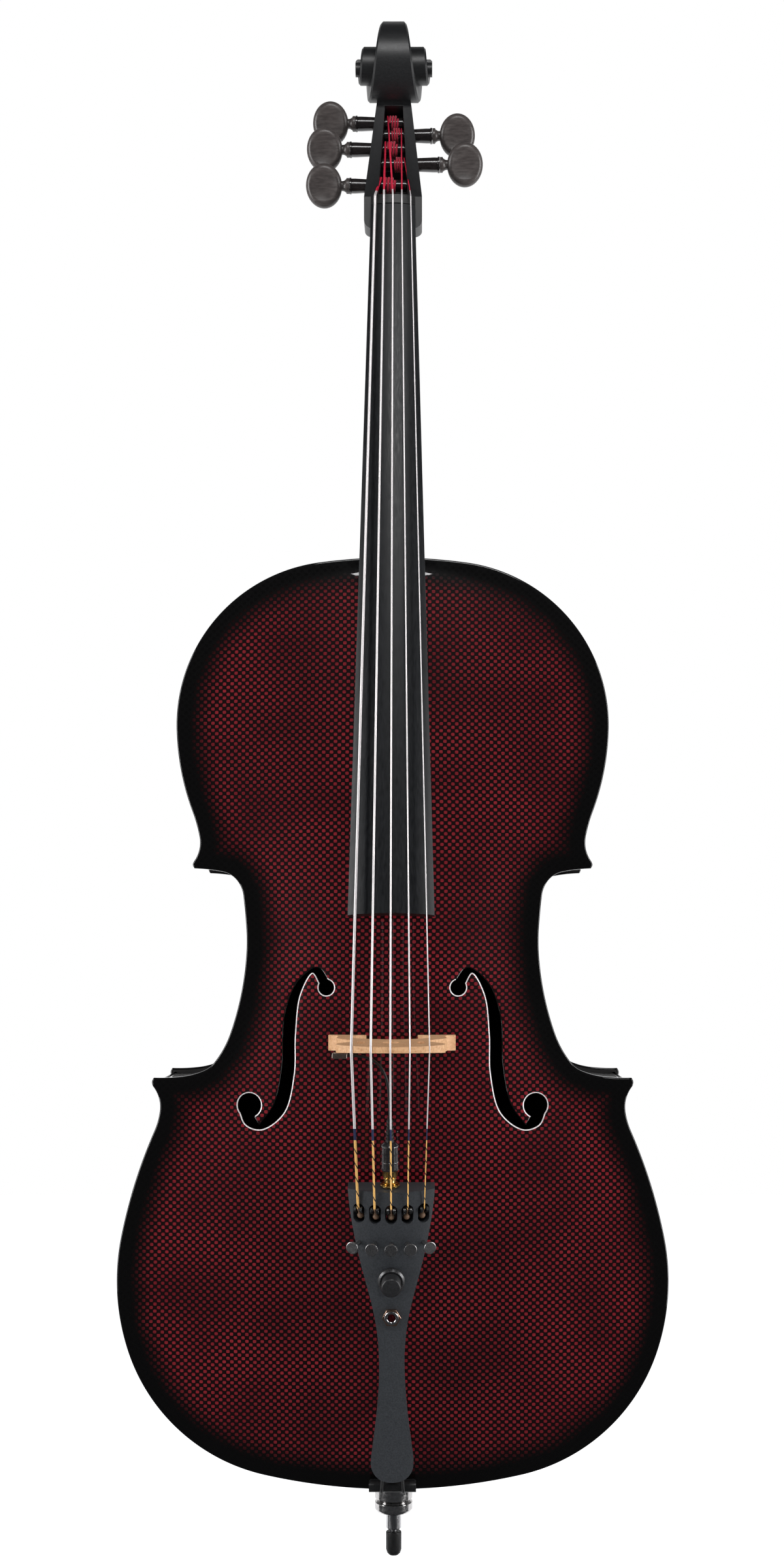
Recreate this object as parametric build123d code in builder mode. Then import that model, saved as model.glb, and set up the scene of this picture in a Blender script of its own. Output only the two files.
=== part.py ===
from build123d import *
import math
import os

# An electric cello with five strings. Z runs up the neck, the strings face -Y, and the origin
# is on the neck's back, just below the pegbox cheeks, where a hanger's yoke would hold it.
# Heights are measured from the plane of the top plate's edge towards the player's bow (-Y).

# Body
body_length = 755.0
upper_bout_width = 350.2
waist_width = 237.2
lower_bout_width = 447.0
body_depth = 118.0
body_top = -272.0
edge_plane_y = -40.5
plate_edge = 4.5
plate_wall = 3.6
top_arch = 26.0
back_arch = 24.0
arch_inset = 9.0
rib_wall = 2.0
edge_overhang = 4.0
glue_gap = 0.1
corner_round = 1.2

# Neck and head
nut_z = 19.7
nut_height = -12.5
nut_length = 7.5
string_bridge_z = -664.7
string_bridge_height = 109.0
board_length_z = 581.0
board_top_radius = 62.0
board_width_nut = 36.0
board_width_end = 67.0
board_side = 6.5
board_gap_nut = 0.9
board_gap_end = 6.5
neck_thickness = 20.5
neck_width_nut = 32.0
neck_width_root = 43.0
cheek_width = 47.6
throat_width = 29.8
pegbox_depth_nut = 33.0
pegbox_depth_throat = 26.0
pegbox_length = 105.5
head_tilt = 26.3
mortise_width_nut = 24.8
mortise_width_throat = 15.0
mortise_floor = 6.0
scroll_radius = 38.5
scroll_decay = 0.1166
scroll_eye_radius = 5.8
scroll_eye_width = 64.7
scroll_top_width = 17.5
scroll_chin_width = 42.5

# Pegs: name, side, distance along the pegbox, length of the sleeve outside the wall
peg_sites = {
    "c": (-1, 26.6, 14.4),
    "g": (-1, 69.0, 18.4),
    "d": (-1, 100.0, 16.6),
    "a": (1, 85.5, 15.2),
    "e": (1, 51.2, 18.5),
}
peg_depth = 13.0
post_radius = 4.75
post_stem_radius = 3.2
post_tip_radius = 3.4
sleeve_radius = 5.4
sleeve_end_radius = 5.9
ring_radius = 6.55
ring_length = 1.6
peg_head_length = 30.0
peg_head_across = 35.0
peg_head_thick = 13.0
peg_rest_turn = 20.0
running_gap = 0.05

# Strings: name, diameter, place across the nut, place across the post, turns on the post
string_names = ["c", "g", "d", "a", "e"]
string_diameter = {"c": 2.1, "g": 1.7, "d": 1.4, "a": 1.1, "e": 0.9}
string_nut_spacing = 7.3
string_bridge_spacing = 14.8
string_tail_spacing = 12.6
string_post_x = {"c": -9.6, "g": -7.0, "d": -5.4, "a": 6.4, "e": 8.4}
winding_diameter = {"c": 2.2, "g": 1.9, "d": 1.7, "a": 1.5, "e": 1.4}
winding_turns = 3
winding_gap = 0.5
string_clear = 0.3

# Bridge and pickup
bridge_z = -670.5
bridge_foot_span = 101.0
bridge_crown_span = 77.0
bridge_foot_depth = 13.0
bridge_crown_depth = 4.5
bridge_crown_radius = 66.0
pickup_length = 11.5

# Tailpiece
tail_top_z = -776.5
tail_top_height = 74.0
tail_end_rise = 12.5
tail_end_height = 24.0
tail_side_wall = 3.7
tail_waist = 10.0
tail_foot = 17.0
tail_arch_radius = 71.0
tail_depth = 22.0
tail_depth_end = 9.5
tail_wall = 3.0
tuner_slot_width = 9.4
tail_half_width = 2 * string_tail_spacing + tuner_slot_width / 2 + tail_side_wall
tuner_slot_top = -10.2
tuner_slot_end = -26.0
tuner_pivot = (-19.5, -9.0)
tuner_pin_radius = 1.25
tuner_screw_y = -42.0
tuner_screw_radius = 1.7
tuner_disc_radius = 5.0
tuner_disc_height = 14.0
lever_swing = 4.0
lever_half = 3.4
prong_gap = 1.5
knob_y = -71.7
knob_radius = 7.75
knob_height = 17.0
knob_ring_radius = 10.6
jack_y = -102.0
jack_bore = 3.2
jack_nut_across = 15.0
plug_x = -1.0
socket_z = -13.0
plug_barrel_length = 11.5
plug_body_length = 22.5
plug_boot_length = 20.5
plug_socket_radius = 7.8

# Endpin
endpin_height = -58.0
endpin_rod_radius = 5.0
endpin_rod_length = 478.0
endpin_bore_gap = 0.06
plug_stem_length = 37.0
collar_radius = 15.9
collar_top_drop = 16.8
collar_split_drop = 24.5
collar_end_drop = 35.2
ferrule_end_drop = 49.2
tip_end_drop = 72.0
tip_radius = 6.5
tail_cord_diameter = 2.6
saddle_width = 38.0
saddle_height = 10.5

# Heights that follow the body's lower end
body_end = body_top - body_length
tail_end_z = body_end + tail_end_rise
collar_top_z = body_end - collar_top_drop
collar_split_z = body_end - collar_split_drop
collar_end_z = body_end - collar_end_drop
ferrule_end_z = body_end - ferrule_end_drop
tip_end_z = body_end - tip_end_drop


def y_at(height):
    """Y of a point that stands this high above the plane of the top plate's edge."""
    return edge_plane_y - height


def front_plane(height):
    """A sketch plane parallel to the top: x to the treble side, y up the neck."""
    return Plane.XZ.offset(-y_at(height))


def arc_run(start, heading, points):
    """Joins points by arcs, each tangent to the one before, and returns the last end."""
    at, along = start, heading
    for point in points:
        arc = TangentArc(at, point, tangent=along)
        at, along = arc @ 1, arc % 1
    return at


def body_point(half_width, x_share, z_share):
    return (half_width * x_share, body_top - body_length * z_share)


# Half of the body's outline as three runs of arcs that meet at the two blunt corners
upper_half, waist_half, lower_half = upper_bout_width / 2, waist_width / 2, lower_bout_width / 2
upper_run = [(0.342, 0.0054), (0.640, 0.0302), (1.0, 0.1837), (0.926, 0.2732), (0.894, 0.2997)]
upper_run.append((0.9194, 0.3262))
waist_run = [(1.1636, 0.3372), (1.0582, 0.3477), (1.0202, 0.3629), (1.0, 0.3974), (1.0, 0.4265)]
waist_run += [(1.1096, 0.5109), (1.2277, 0.5438), (1.2816, 0.5503), (1.4334, 0.5570), (1.6315, 0.5583)]
lower_run = [(0.467, 0.9845), (0.9606, 0.8511), (0.985, 0.7294), (0.864, 0.6154), (0.8443, 0.5947)]
lower_run.append((0.8694, 0.5675))
with BuildLine() as body_outline:
    upper_tip = arc_run((0, body_top), (1, 0), [body_point(upper_half, *p) for p in upper_run])
    waist_start = body_point(waist_half, 1.3533, 0.3339)
    SagittaArc(upper_tip, waist_start, corner_round)
    waist_tip = arc_run(waist_start, (-1, -0.03), [body_point(waist_half, *p) for p in waist_run])
    lower_tip = arc_run((0, body_end), (1, 0), [body_point(lower_half, *p) for p in lower_run])
    SagittaArc(waist_tip, lower_tip, corner_round)
    mirror(about=Plane.YZ)


def arch_width(drop):
    """Half width of the arched field at this distance below the body's top edge."""
    upper = upper_bout_width / 2 - arch_inset
    waist = waist_width / 2 - arch_inset
    lower = lower_bout_width / 2 - arch_inset
    upper_at, waist_at, lower_at = body_length * 0.18, body_length * 0.412, body_length * 0.776
    start, end = arch_inset, body_length - arch_inset
    if drop <= start or drop >= end:
        return 0.0
    if drop < upper_at:
        share = (upper_at - drop) / (upper_at - start)
        return upper * (1 - share**2.35) ** (1 / 2.35)
    if drop > lower_at:
        share = (drop - lower_at) / (end - lower_at)
        return lower * (1 - share**2.4) ** (1 / 2.4)
    if drop < waist_at:
        blend = (1 - math.cos(math.pi * (drop - upper_at) / (waist_at - upper_at))) / 2
        return upper + (waist - upper) * blend
    blend = (1 - math.cos(math.pi * (drop - waist_at) / (lower_at - waist_at))) / 2
    return waist + (lower - waist) * blend


def arching(x, z):
    """Share of the full arch height: a long arch times a cross arch, flat at the rim."""
    drop = body_top - z
    along = abs(drop / (body_length / 2) - 1)
    width = arch_width(drop)
    if along >= 1 or abs(x) >= width:
        return 0.0
    return (1 - along**2.6) ** 1.15 * (1 - (abs(x) / width) ** 2.2) ** 1.7


def arch_face(base, rise, toward):
    """A smooth sheet at the height base + rise x arching; toward is 1 at the top, -1 at the back."""
    rows = 25
    columns = 17
    reach = lower_bout_width / 2 + 12
    sheet = []
    for row in range(rows):
        z = body_top + 12 - (body_length + 24) * row / (rows - 1)
        line = []
        for column in range(columns):
            x = -reach + 2 * reach * column / (columns - 1)
            line.append((x, y_at(base + toward * rise * arching(x, z)), z))
        sheet.append(line)
    return Face.make_surface_from_array_of_points(sheet, tol=0.1, min_deg=3, max_deg=3)


top_outside = arch_face(0, top_arch, 1)
top_inside = arch_face(-plate_edge - 1.2, top_arch + plate_edge + 1.2 - plate_wall, 1)
back_base = -body_depth
back_outside = arch_face(back_base, back_arch, -1)
back_inside = arch_face(back_base + plate_edge + 1.2, back_arch + plate_edge + 1.2 - plate_wall, -1)
into_body = (0, 1, 0)
out_of_body = (0, -1, 0)
sheet_reach = top_arch + 30

# Top plate, with its two f-holes. The hole's two edges start in the upper eye and end in the lower.
f_outer_edge = [(50, 344), (60, 332.3), (76.4, 343.9), (86.6, 370.6), (88.7, 412), (95.1, 442), (107, 459)]
f_inner_edge = [(57, 347), (64, 336.2), (74.3, 353.5), (78.3, 385.5), (79.1, 417.5), (87.1, 448.5)]
f_inner_edge += [(105.2, 462), (118, 458.5), (123.4, 447)]
f_upper_eye = (52.8, 348.0)
f_upper_eye_radius = 6.3
f_lower_eye = (115.3, 443.0)
f_lower_eye_radius = 9.6
f_wing_tip = (111.6, 452.0)
neck_notch = neck_width_root + 2 * glue_gap


def f_point(point):
    return (point[0], body_top - point[1])


with BuildPart() as top_plate:
    with BuildSketch(front_plane(-plate_edge)) as top_shape:
        make_face(body_outline.edges())
    extrude(amount=plate_edge + top_arch + 5)
    extrude(top_outside, amount=sheet_reach + plate_edge, dir=into_body, mode=Mode.INTERSECT)
    extrude(top_inside, amount=sheet_reach, dir=into_body, mode=Mode.SUBTRACT)
    with BuildSketch(front_plane(-plate_edge - 5)):
        with BuildLine():
            outer = Spline([f_point(p) for p in f_outer_edge])
            inner = Spline([f_point(p) for p in f_inner_edge])
            Line(outer @ 0, inner @ 0)
            tip = Line(outer @ 1, f_point(f_wing_tip))
            Line(tip @ 1, inner @ 1)
        make_face()
        with Locations(f_point(f_upper_eye)):
            Circle(f_upper_eye_radius)
        with Locations(f_point(f_lower_eye)):
            Circle(f_lower_eye_radius)
        mirror(about=Plane.YZ)
    extrude(amount=top_arch + plate_edge + 15, mode=Mode.SUBTRACT)
    with BuildSketch(front_plane(-plate_edge - 1)):
        with Locations((0, body_top)):
            Rectangle(neck_notch, 2 * (edge_overhang + glue_gap))
        with Locations((0, body_end)):
            Rectangle(saddle_width + 2 * glue_gap, 2 * (edge_overhang + 5))
    extrude(amount=plate_edge + 10, mode=Mode.SUBTRACT)
top_plate.part.label = "top_plate"

# Back plate, with the button that carries the heel of the neck
button_radius = 15.0
heel_rise = 11.0
with BuildPart() as back_plate:
    with BuildSketch(front_plane(back_base + plate_edge)) as back_shape:
        make_face(body_outline.edges())
        with Locations((0, body_top + heel_rise - button_radius)):
            Circle(button_radius)
    extrude(amount=-(plate_edge + back_arch + 5))
    extrude(back_outside, amount=sheet_reach + plate_edge, dir=out_of_body, mode=Mode.INTERSECT)
    extrude(back_inside, amount=sheet_reach, dir=out_of_body, mode=Mode.SUBTRACT)
back_plate.part.label = "back_plate"

# Ribs: one bent wall between the plates, set in from their edges
rib_front = -plate_edge - glue_gap
rib_back = back_base + plate_edge + glue_gap
endpin_y = y_at(endpin_height)
plug_stem_radius = 12.0
with BuildPart() as ribs:
    with BuildSketch(front_plane(rib_back)):
        make_face(body_outline.edges())
        offset(amount=-edge_overhang, mode=Mode.REPLACE)
    extrude(amount=rib_front - rib_back)
    with BuildSketch(front_plane(rib_back)):
        make_face(body_outline.edges())
        offset(amount=-edge_overhang - rib_wall, mode=Mode.REPLACE)
    extrude(amount=rib_front - rib_back, mode=Mode.SUBTRACT)
    with Locations((0, endpin_y, body_end)):
        Cylinder(plug_stem_radius + glue_gap, 30, mode=Mode.SUBTRACT)
ribs.part.label = "ribs"

# Blocks at both ends of the body, which carry the neck and the endpin
block_width = 90.0
neck_block_length = 32.0
end_block_length = 26.0


def block_field(length, center_z):
    """A block of the full inner depth, trimmed to the curve of the ribs."""
    with BuildPart() as block:
        with BuildSketch(front_plane(rib_back)):
            make_face(body_outline.edges())
            offset(amount=-edge_overhang - rib_wall - glue_gap, mode=Mode.REPLACE)
            with Locations((0, center_z)):
                Rectangle(block_width, length, mode=Mode.INTERSECT)
        extrude(amount=rib_front - rib_back)
    return block


neck_block = block_field(2 * neck_block_length, body_top)
neck_block.part.label = "neck_block"

with BuildPart() as end_block:
    add(block_field(2 * end_block_length, body_end).part)
    with Locations((0, endpin_y, body_end)):
        Cylinder(plug_stem_radius + glue_gap, 80, mode=Mode.SUBTRACT)
end_block.part.label = "end_block"

# Bass bar and sound post, fitted to the insides of the plates
bar_x = -38.0
bar_width = 11.0
bar_depth = 22.0
bar_top_z = body_top - 120
bar_end_z = body_top - 655
post_x = 36.0
post_z = bridge_z - 18
post_width = 11.0
top_fit = arch_face(-plate_edge - 1.2 - glue_gap, top_arch + plate_edge + 1.2 - plate_wall, 1)
back_fit = arch_face(back_base + plate_edge + 1.2 + glue_gap, back_arch + plate_edge + 1.2 - plate_wall, -1)
with BuildPart() as bass_bar:
    with BuildSketch(Plane.YZ.offset(bar_x)):
        with BuildLine():
            crown = Line((y_at(top_arch), bar_top_z), (y_at(top_arch), bar_end_z))
            foot = Line(crown @ 1, (y_at(-plate_edge), bar_end_z))
            deepest = (y_at(top_arch - plate_wall - bar_depth - 3), bridge_z)
            belly = ThreePointArc(foot @ 1, deepest, (y_at(-plate_edge), bar_top_z))
            Line(belly @ 1, crown @ 0)
        make_face()
    extrude(amount=bar_width / 2, both=True)
    extrude(top_fit, amount=sheet_reach + 40, dir=into_body, mode=Mode.INTERSECT)
bass_bar.part.label = "bass_bar"

with BuildPart() as sound_post:
    with Locations(Location((post_x, y_at(-body_depth / 2), post_z), (90, 0, 0))):
        Cylinder(post_width / 2, body_depth + 60)
    extrude(top_fit, amount=200, dir=into_body, mode=Mode.INTERSECT)
    extrude(back_fit, amount=200, dir=out_of_body, mode=Mode.INTERSECT)
sound_post.part.label = "sound_post"

# Line of the strings, and of the board's surface below them
string_slope = (string_bridge_height - nut_height) / (nut_z - string_bridge_z)
board_end_z = nut_z - board_length_z
board_start_height = nut_height - board_gap_nut
board_end_height = nut_height + string_slope * board_length_z - board_gap_end
board_start = Vector(0, y_at(board_start_height), nut_z)
board_end = Vector(0, y_at(board_end_height), board_end_z)
board_along = (board_end - board_start).normalized()
board_length = (board_end - board_start).length


def board_plane(distance):
    """Across the board, this far from the nut: x to the treble side, y out of its surface."""
    return Plane(origin=board_start + board_along * distance, x_dir=(1, 0, 0), z_dir=board_along)


def board_half(distance):
    share = distance / board_length
    return (board_width_nut + (board_width_end - board_width_nut) * share) / 2


def board_sag(half):
    return board_top_radius - math.sqrt(board_top_radius**2 - half**2)


def board_under(distance):
    """Height of the board's flat underside in its own section."""
    start = board_sag(board_half(0))
    end = board_sag(board_half(board_length))
    return -board_side - start - (end - start) * distance / board_length


# Head: the pegbox leans back from the neck, and the scroll turns about its eye
tilt = math.radians(head_tilt)
head_start_z = nut_z + nut_length
head_start_height = nut_height - 6.5
cheek_end_z = 1.7
eye_along = 134.0
eye_front = 13.1
back_radius = 39.5


def head_point(along, behind):
    """(y, z) of a point this far along the pegbox's front edge and this far behind it."""
    z = head_start_z + along * math.cos(tilt) - behind * math.sin(tilt)
    height = head_start_height - along * math.sin(tilt) - behind * math.cos(tilt)
    return (y_at(height), z)


def head_axis(along, behind, x=0.0):
    y, z = head_point(along, behind)
    return Vector(x, y, z)


def cheek_half(z):
    """Half width of the head at this height up the neck."""
    top_z = head_point(pegbox_length, 0)[1]
    share = (z - head_start_z) / (top_z - head_start_z)
    return (cheek_width + (throat_width - cheek_width) * max(share, 0)) / 2


def volute_plane(turn):
    """Half plane out of the eye's axis; the turn is counted from the top over the front."""
    facing = (0, -math.cos(turn), -math.sin(turn))
    return Plane(origin=head_axis(eye_along, -eye_front), x_dir=(1, 0, 0), z_dir=facing)


def volute_reach(turn):
    if turn < 0:
        return scroll_radius + (back_radius - scroll_radius) * turn / scroll_start
    return scroll_radius * math.exp(-scroll_decay * turn)


def volute_width(turn):
    if turn < 0:
        return scroll_top_width + 6.0 * turn / scroll_start
    if turn < math.pi:
        return scroll_top_width + (scroll_chin_width - scroll_top_width) * turn / math.pi
    share = (turn - math.pi) / (scroll_end - math.pi)
    return scroll_chin_width + (scroll_eye_width - scroll_chin_width) * share**0.75


scroll_start = -math.pi / 2 - tilt
scroll_end = 4 * math.pi
volute_core = 2.0
volute_edge = 1.6
volute_steps = 4
volute_spans = [(scroll_start, 0), (0, math.pi), (math.pi, 2 * math.pi)]
volute_spans += [(2 * math.pi, 3 * math.pi), (3 * math.pi, scroll_end)]

# Tailpiece plane, and the line of each string from its ball end over bridge and nut to its post
tail_slope = (tail_top_height - tail_end_height) / (tail_top_z - tail_end_z)
tail_normal = Vector(0, -1, -tail_slope).normalized()
tail = Plane(origin=(0, y_at(tail_top_height), tail_top_z), x_dir=(1, 0, 0), z_dir=tail_normal)


def tuner_plane(index):
    """Local plane of one tuner: x across, y up the tailpiece, z out of its arched face."""
    lean = math.asin((index - 2) * string_tail_spacing / tail_arch_radius)
    across = tail_arch_radius * math.sin(lean)
    drop = tail_arch_radius * math.cos(lean) - tail_arch_radius
    return Plane(tail.location * Location((across, 0, drop), (0, math.degrees(lean), 0)))


def turned(plane, profile):
    """A solid turned about the plane's x axis from its half profile."""
    with BuildPart() as piece:
        with BuildSketch(plane):
            with BuildLine():
                Polyline(*profile, profile[0])
            make_face()
        revolve(axis=Axis(plane.origin, plane.x_dir))
    return piece.part


def swept_tube(points, radii, diameter):
    """A tube on straight runs joined by tangent arcs."""
    with BuildPart() as tube:
        with BuildLine() as path:
            FilletPolyline(*points, radius=radii)
        with BuildSketch(Plane(path.line @ 0, z_dir=path.line % 0)):
            Circle(diameter / 2)
        sweep(path=path.line)
    return tube.part


def bridge_top(x):
    """Height of the bridge's crown at this place across it."""
    return string_bridge_height - bridge_crown_radius + math.sqrt(bridge_crown_radius**2 - x**2)


def nut_top(x):
    return nut_height - x**2 / (2 * board_top_radius)


string_routes = {}
string_bends = {}
post_centres = {}
fork_bend = 4.0
string_bend = 8.0
ball_radius = 2.6
fork_spot = (0, -14.0, 1.2)
ball_spot = (0, -21.4, -4.0)
for index, name in enumerate(string_names):
    size = string_diameter[name]
    side, along, _ = peg_sites[name]
    nut_x = (index - 2) * string_nut_spacing
    bridge_x = (index - 2) * string_bridge_spacing
    at_nut = Vector(nut_x, y_at(nut_top(nut_x)), nut_z + 1)
    at_bridge = Vector(bridge_x, y_at(bridge_top(bridge_x) + size / 4), string_bridge_z)
    fork = tuner_plane(index).from_local_coords(fork_spot)
    ball = tuner_plane(index).from_local_coords(ball_spot)
    string_end = fork + (ball - fork) * (1 - (ball_radius + glue_gap) / (ball - fork).length)
    centre = head_axis(along, peg_depth, string_post_x[name])
    wrap = post_radius + string_clear + size / 2
    over_nut = at_nut + Vector(0, -math.tan(math.radians(3)) * (nut_length - 2), nut_length - 2)
    away = Vector(0, centre.Y - over_nut.Y, centre.Z - over_nut.Z)
    rise = math.atan2(away.Z, away.Y)
    lift = math.asin(wrap / away.length)
    aim = Vector(0, math.cos(rise + lift), math.sin(rise + lift))
    behind = Vector(0, aim.Z, -aim.Y)
    run = math.sqrt(away.length**2 - wrap**2)
    corner = over_nut + Vector(centre.X - over_nut.X, 0, 0) + aim * (run + wrap)
    far_corner = corner + behind * 2 * wrap
    end = far_corner - aim * (wrap + 2)
    string_routes[name] = [string_end, fork, at_bridge, at_nut, over_nut, corner, far_corner, end]
    string_bends[name] = [fork_bend, string_bend, 20, 4, wrap, wrap]
    post_centres[name] = centre


def string_groove(name, clearance):
    """The space that a string needs in what it passes over."""
    return swept_tube(string_routes[name], string_bends[name], string_diameter[name] + 2 * clearance)


strings = {}
for name in string_names:
    with BuildPart() as string:
        add(string_groove(name, 0))
        tail_point = string_routes[name][0]
        outward = (tail_point - string_routes[name][1]).normalized()
        with Locations(tail_point + outward * ball_radius * 0.8):
            Sphere(ball_radius)
    strings[name] = string.part
groove_gap = 0.1
ramp_gap = 0.4

# Fingerboard: a long tapered stave, round on top and hollowed under its free end
scoop_start = 0.52 * board_length
scoop_depth = 5.0
scoop_edge = 6.0
with BuildPart() as fingerboard:
    for distance in (0, board_length):
        half = board_half(distance)
        sag = board_sag(half)
        with BuildSketch(board_plane(distance)):
            with BuildLine():
                crown = ThreePointArc((-half, -sag), (0, 0), (half, -sag))
                under = board_under(distance)
                Polyline(crown @ 1, (half, under), (-half, under), crown @ 0)
            make_face()
    loft()
    for distance, depth in ((scoop_start, 0.4), (board_length + 1, scoop_depth)):
        half = board_half(distance) - scoop_edge
        under = board_under(distance) - 1
        with BuildSketch(board_plane(distance)):
            with BuildLine():
                roof = ThreePointArc((-half, under), (0, under + depth + 1), (half, under))
                Line(roof @ 1, roof @ 0)
            make_face()
    loft(mode=Mode.SUBTRACT)
fingerboard.part.label = "fingerboard"

# Nut, across the board's upper end
with BuildPart() as nut:
    with BuildSketch(board_plane(-glue_gap)):
        with BuildLine():
            half = board_half(0)
            sag = board_sag(half)
            crown = ThreePointArc((-half, -sag), (0, board_gap_nut), (half, -sag))
            Polyline(crown @ 1, (half, board_under(0)), (-half, board_under(0)), crown @ 0)
        make_face()
    extrude(amount=-nut_length)
    for name in string_names:
        add(string_groove(name, groove_gap), mode=Mode.SUBTRACT)
nut.part.label = "nut"

# Heel: a block that reaches from under the board to the back plate's button
heel_face_z = body_top - edge_overhang + glue_gap
heel_top_z = -205.0
heel_back_half = 13.5
heel_front_y = y_at(60)
heel_back_y = y_at(rib_back)
with BuildPart() as heel:
    with BuildSketch(Plane.YZ):
        with BuildLine():
            under_top = board_plane(230).from_local_coords((0, board_under(230) - glue_gap, 0))
            under_low = board_plane(300).from_local_coords((0, board_under(300) - glue_gap, 0))
            slope = (under_low.Y - under_top.Y) / (under_low.Z - under_top.Z)
            low_y = under_top.Y + slope * (heel_face_z - under_top.Z)
            back = Line((low_y, heel_face_z), (heel_back_y, heel_face_z))
            button = Line(back @ 1, (heel_back_y, body_top + heel_rise - 1))
            rise = Line(button @ 1, (5, body_top + heel_rise + 12))
            hollow = TangentArc(rise @ 1, (under_top.Y + 23, heel_top_z), tangent=rise % 1)
            Polyline(hollow @ 1, (under_top.Y, under_top.Z), back @ 0)
        make_face()
    extrude(amount=30, both=True)
    with BuildSketch(Plane.XY.offset(heel_face_z - 1)):
        with BuildLine():
            front_half = neck_width_root / 2
            Polyline(
                (-front_half, heel_front_y - 40), (front_half, heel_front_y - 40), (front_half, y_at(0)),
                (heel_back_half, heel_back_y + 1), (-heel_back_half, heel_back_y + 1), (-front_half, y_at(0)),
                (-front_half, heel_front_y - 40),
            )
        make_face()
    extrude(amount=100, mode=Mode.INTERSECT)

with BuildPart() as mortise:
    with BuildSketch(Plane.YZ):
        with BuildLine():
            Polyline(
                head_point(3, -6), head_point(3, pegbox_depth_nut - mortise_floor),
                head_point(pegbox_length + 2, pegbox_depth_throat - mortise_floor),
                head_point(pegbox_length + 2, 4), head_point(pegbox_length - 1, -6), head_point(3, -6),
            )
        make_face()
    extrude(amount=20, both=True)
    head_front = Plane(origin=head_axis(0, 0), x_dir=(1, 0, 0), z_dir=(0, -math.cos(tilt), math.sin(tilt)))
    with BuildSketch(head_front.offset(10)):
        with BuildLine():
            near, far = mortise_width_nut / 2, mortise_width_throat / 2
            Polyline((-near, 0), (near, 0), (far, pegbox_length + 3), (-far, pegbox_length + 3), (-near, 0))
        make_face()
    extrude(amount=-60, mode=Mode.INTERSECT)

with BuildPart() as neck:
    for distance in (-9, 0.42 * board_length):
        root_share = max(distance, 0) / (0.42 * board_length)
        half = (neck_width_nut + (neck_width_root - neck_width_nut) * root_share) / 2
        face = board_under(distance) - glue_gap
        thick = neck_thickness + 3.0 * root_share
        with BuildSketch(board_plane(distance)):
            with BuildLine():
                belly = ThreePointArc((-half, face - 3), (0, face - thick), (half, face - 3))
                Polyline(belly @ 1, (half, face), (-half, face), belly @ 0)
            make_face()
    loft()
    add(heel.part)
    with BuildSketch(Plane.YZ):
        with BuildLine():
            eye_point = head_point(eye_along, -eye_front)
            Polyline(
                (y_at(head_start_height - 1), cheek_end_z), head_point(0, 0), head_point(pegbox_length, 0),
                eye_point,
                head_point(eye_along, back_radius - eye_front - 0.5), head_point(0, pegbox_depth_nut),
                (0, cheek_end_z), (y_at(head_start_height - 1), cheek_end_z),
            )
        make_face()
    head_side = extrude(amount=30, both=True, mode=Mode.PRIVATE)
    with BuildSketch(front_plane(-160)) as head_front_shape:
        with BuildLine():
            throat_z = head_point(pegbox_length, 0)[1]
            nut_half, throat_half = cheek_width / 2, throat_width / 2
            Polyline(
                (-nut_half, cheek_end_z), (nut_half, cheek_end_z), (nut_half, head_start_z),
                (throat_half, throat_z),
                (9, throat_z + 42), (-9, throat_z + 42), (-throat_half, throat_z), (-nut_half, head_start_z),
                (-nut_half, cheek_end_z),
            )
        make_face()
        fillet(head_front_shape.vertices().group_by(Axis.Y)[0], 7)
    head_front_block = extrude(amount=200, mode=Mode.PRIVATE)
    add(head_side & head_front_block)
    for span in volute_spans:
        for step in range(volute_steps + 1):
            turn = span[0] + (span[1] - span[0]) * step / volute_steps
            reach = volute_reach(turn)
            half = volute_width(turn) / 2
            with BuildSketch(volute_plane(turn)):
                with BuildLine():
                    Polyline(
                        (-half, volute_core), (half, volute_core), (half, reach - volute_edge),
                        (half - volute_edge, reach), (volute_edge - half, reach),
                        (-half, reach - volute_edge), (-half, volute_core),
                    )
                make_face()
        loft()
    with Locations(Location(head_axis(eye_along, -eye_front), (0, 90, 0))):
        Cylinder(scroll_eye_radius, scroll_eye_width)
    add(mortise.part, mode=Mode.SUBTRACT)
    for distance in (-nut_length - 2 * glue_gap, 45):
        half = board_half(max(distance, 0)) + glue_gap
        face = board_under(distance) - glue_gap
        with BuildSketch(board_plane(distance)):
            with BuildLine():
                Polyline((-half, face), (half, face), (half, face + 30), (-half, face + 30), (-half, face))
            make_face()
    loft(mode=Mode.SUBTRACT)
    for side, along, _ in peg_sites.values():
        axis_at = head_axis(along, peg_depth)
        with Locations(Location(axis_at + Vector(side * 20, 0, 0), (0, 90, 0))):
            Cylinder(sleeve_radius + glue_gap / 2, 40, mode=Mode.SUBTRACT)
        with Locations(Location(axis_at - Vector(side * 20, 0, 0), (0, 90, 0))):
            Cylinder(post_tip_radius + running_gap, 40, mode=Mode.SUBTRACT)
    for name in string_names:
        add(string_groove(name, ramp_gap), mode=Mode.SUBTRACT)
neck.part.label = "neck"


# Pegs: each has a sleeve in its wall, a head that turns by hand, and a post geared down behind it
head_stub = 5.5
stub_gap = 0.5
wall_gap = 0.4
collar_length = 2.2
baluster_length = 6.0
dish_radius = 34.0
dish_depth = 2.2
sleeves = []
peg_heads = {}
peg_posts = {}


def peg_plane(name):
    """Sketch plane through the peg's axis: x out of the wall, y across the peg."""
    side, along, _ = peg_sites[name]
    return Plane(origin=head_axis(along, peg_depth), x_dir=(side, 0, 0), z_dir=(0, -1, 0))


def mortise_half(along):
    share = (along - 0) / (pegbox_length + 3)
    return (mortise_width_nut + (mortise_width_throat - mortise_width_nut) * share) / 2


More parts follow.
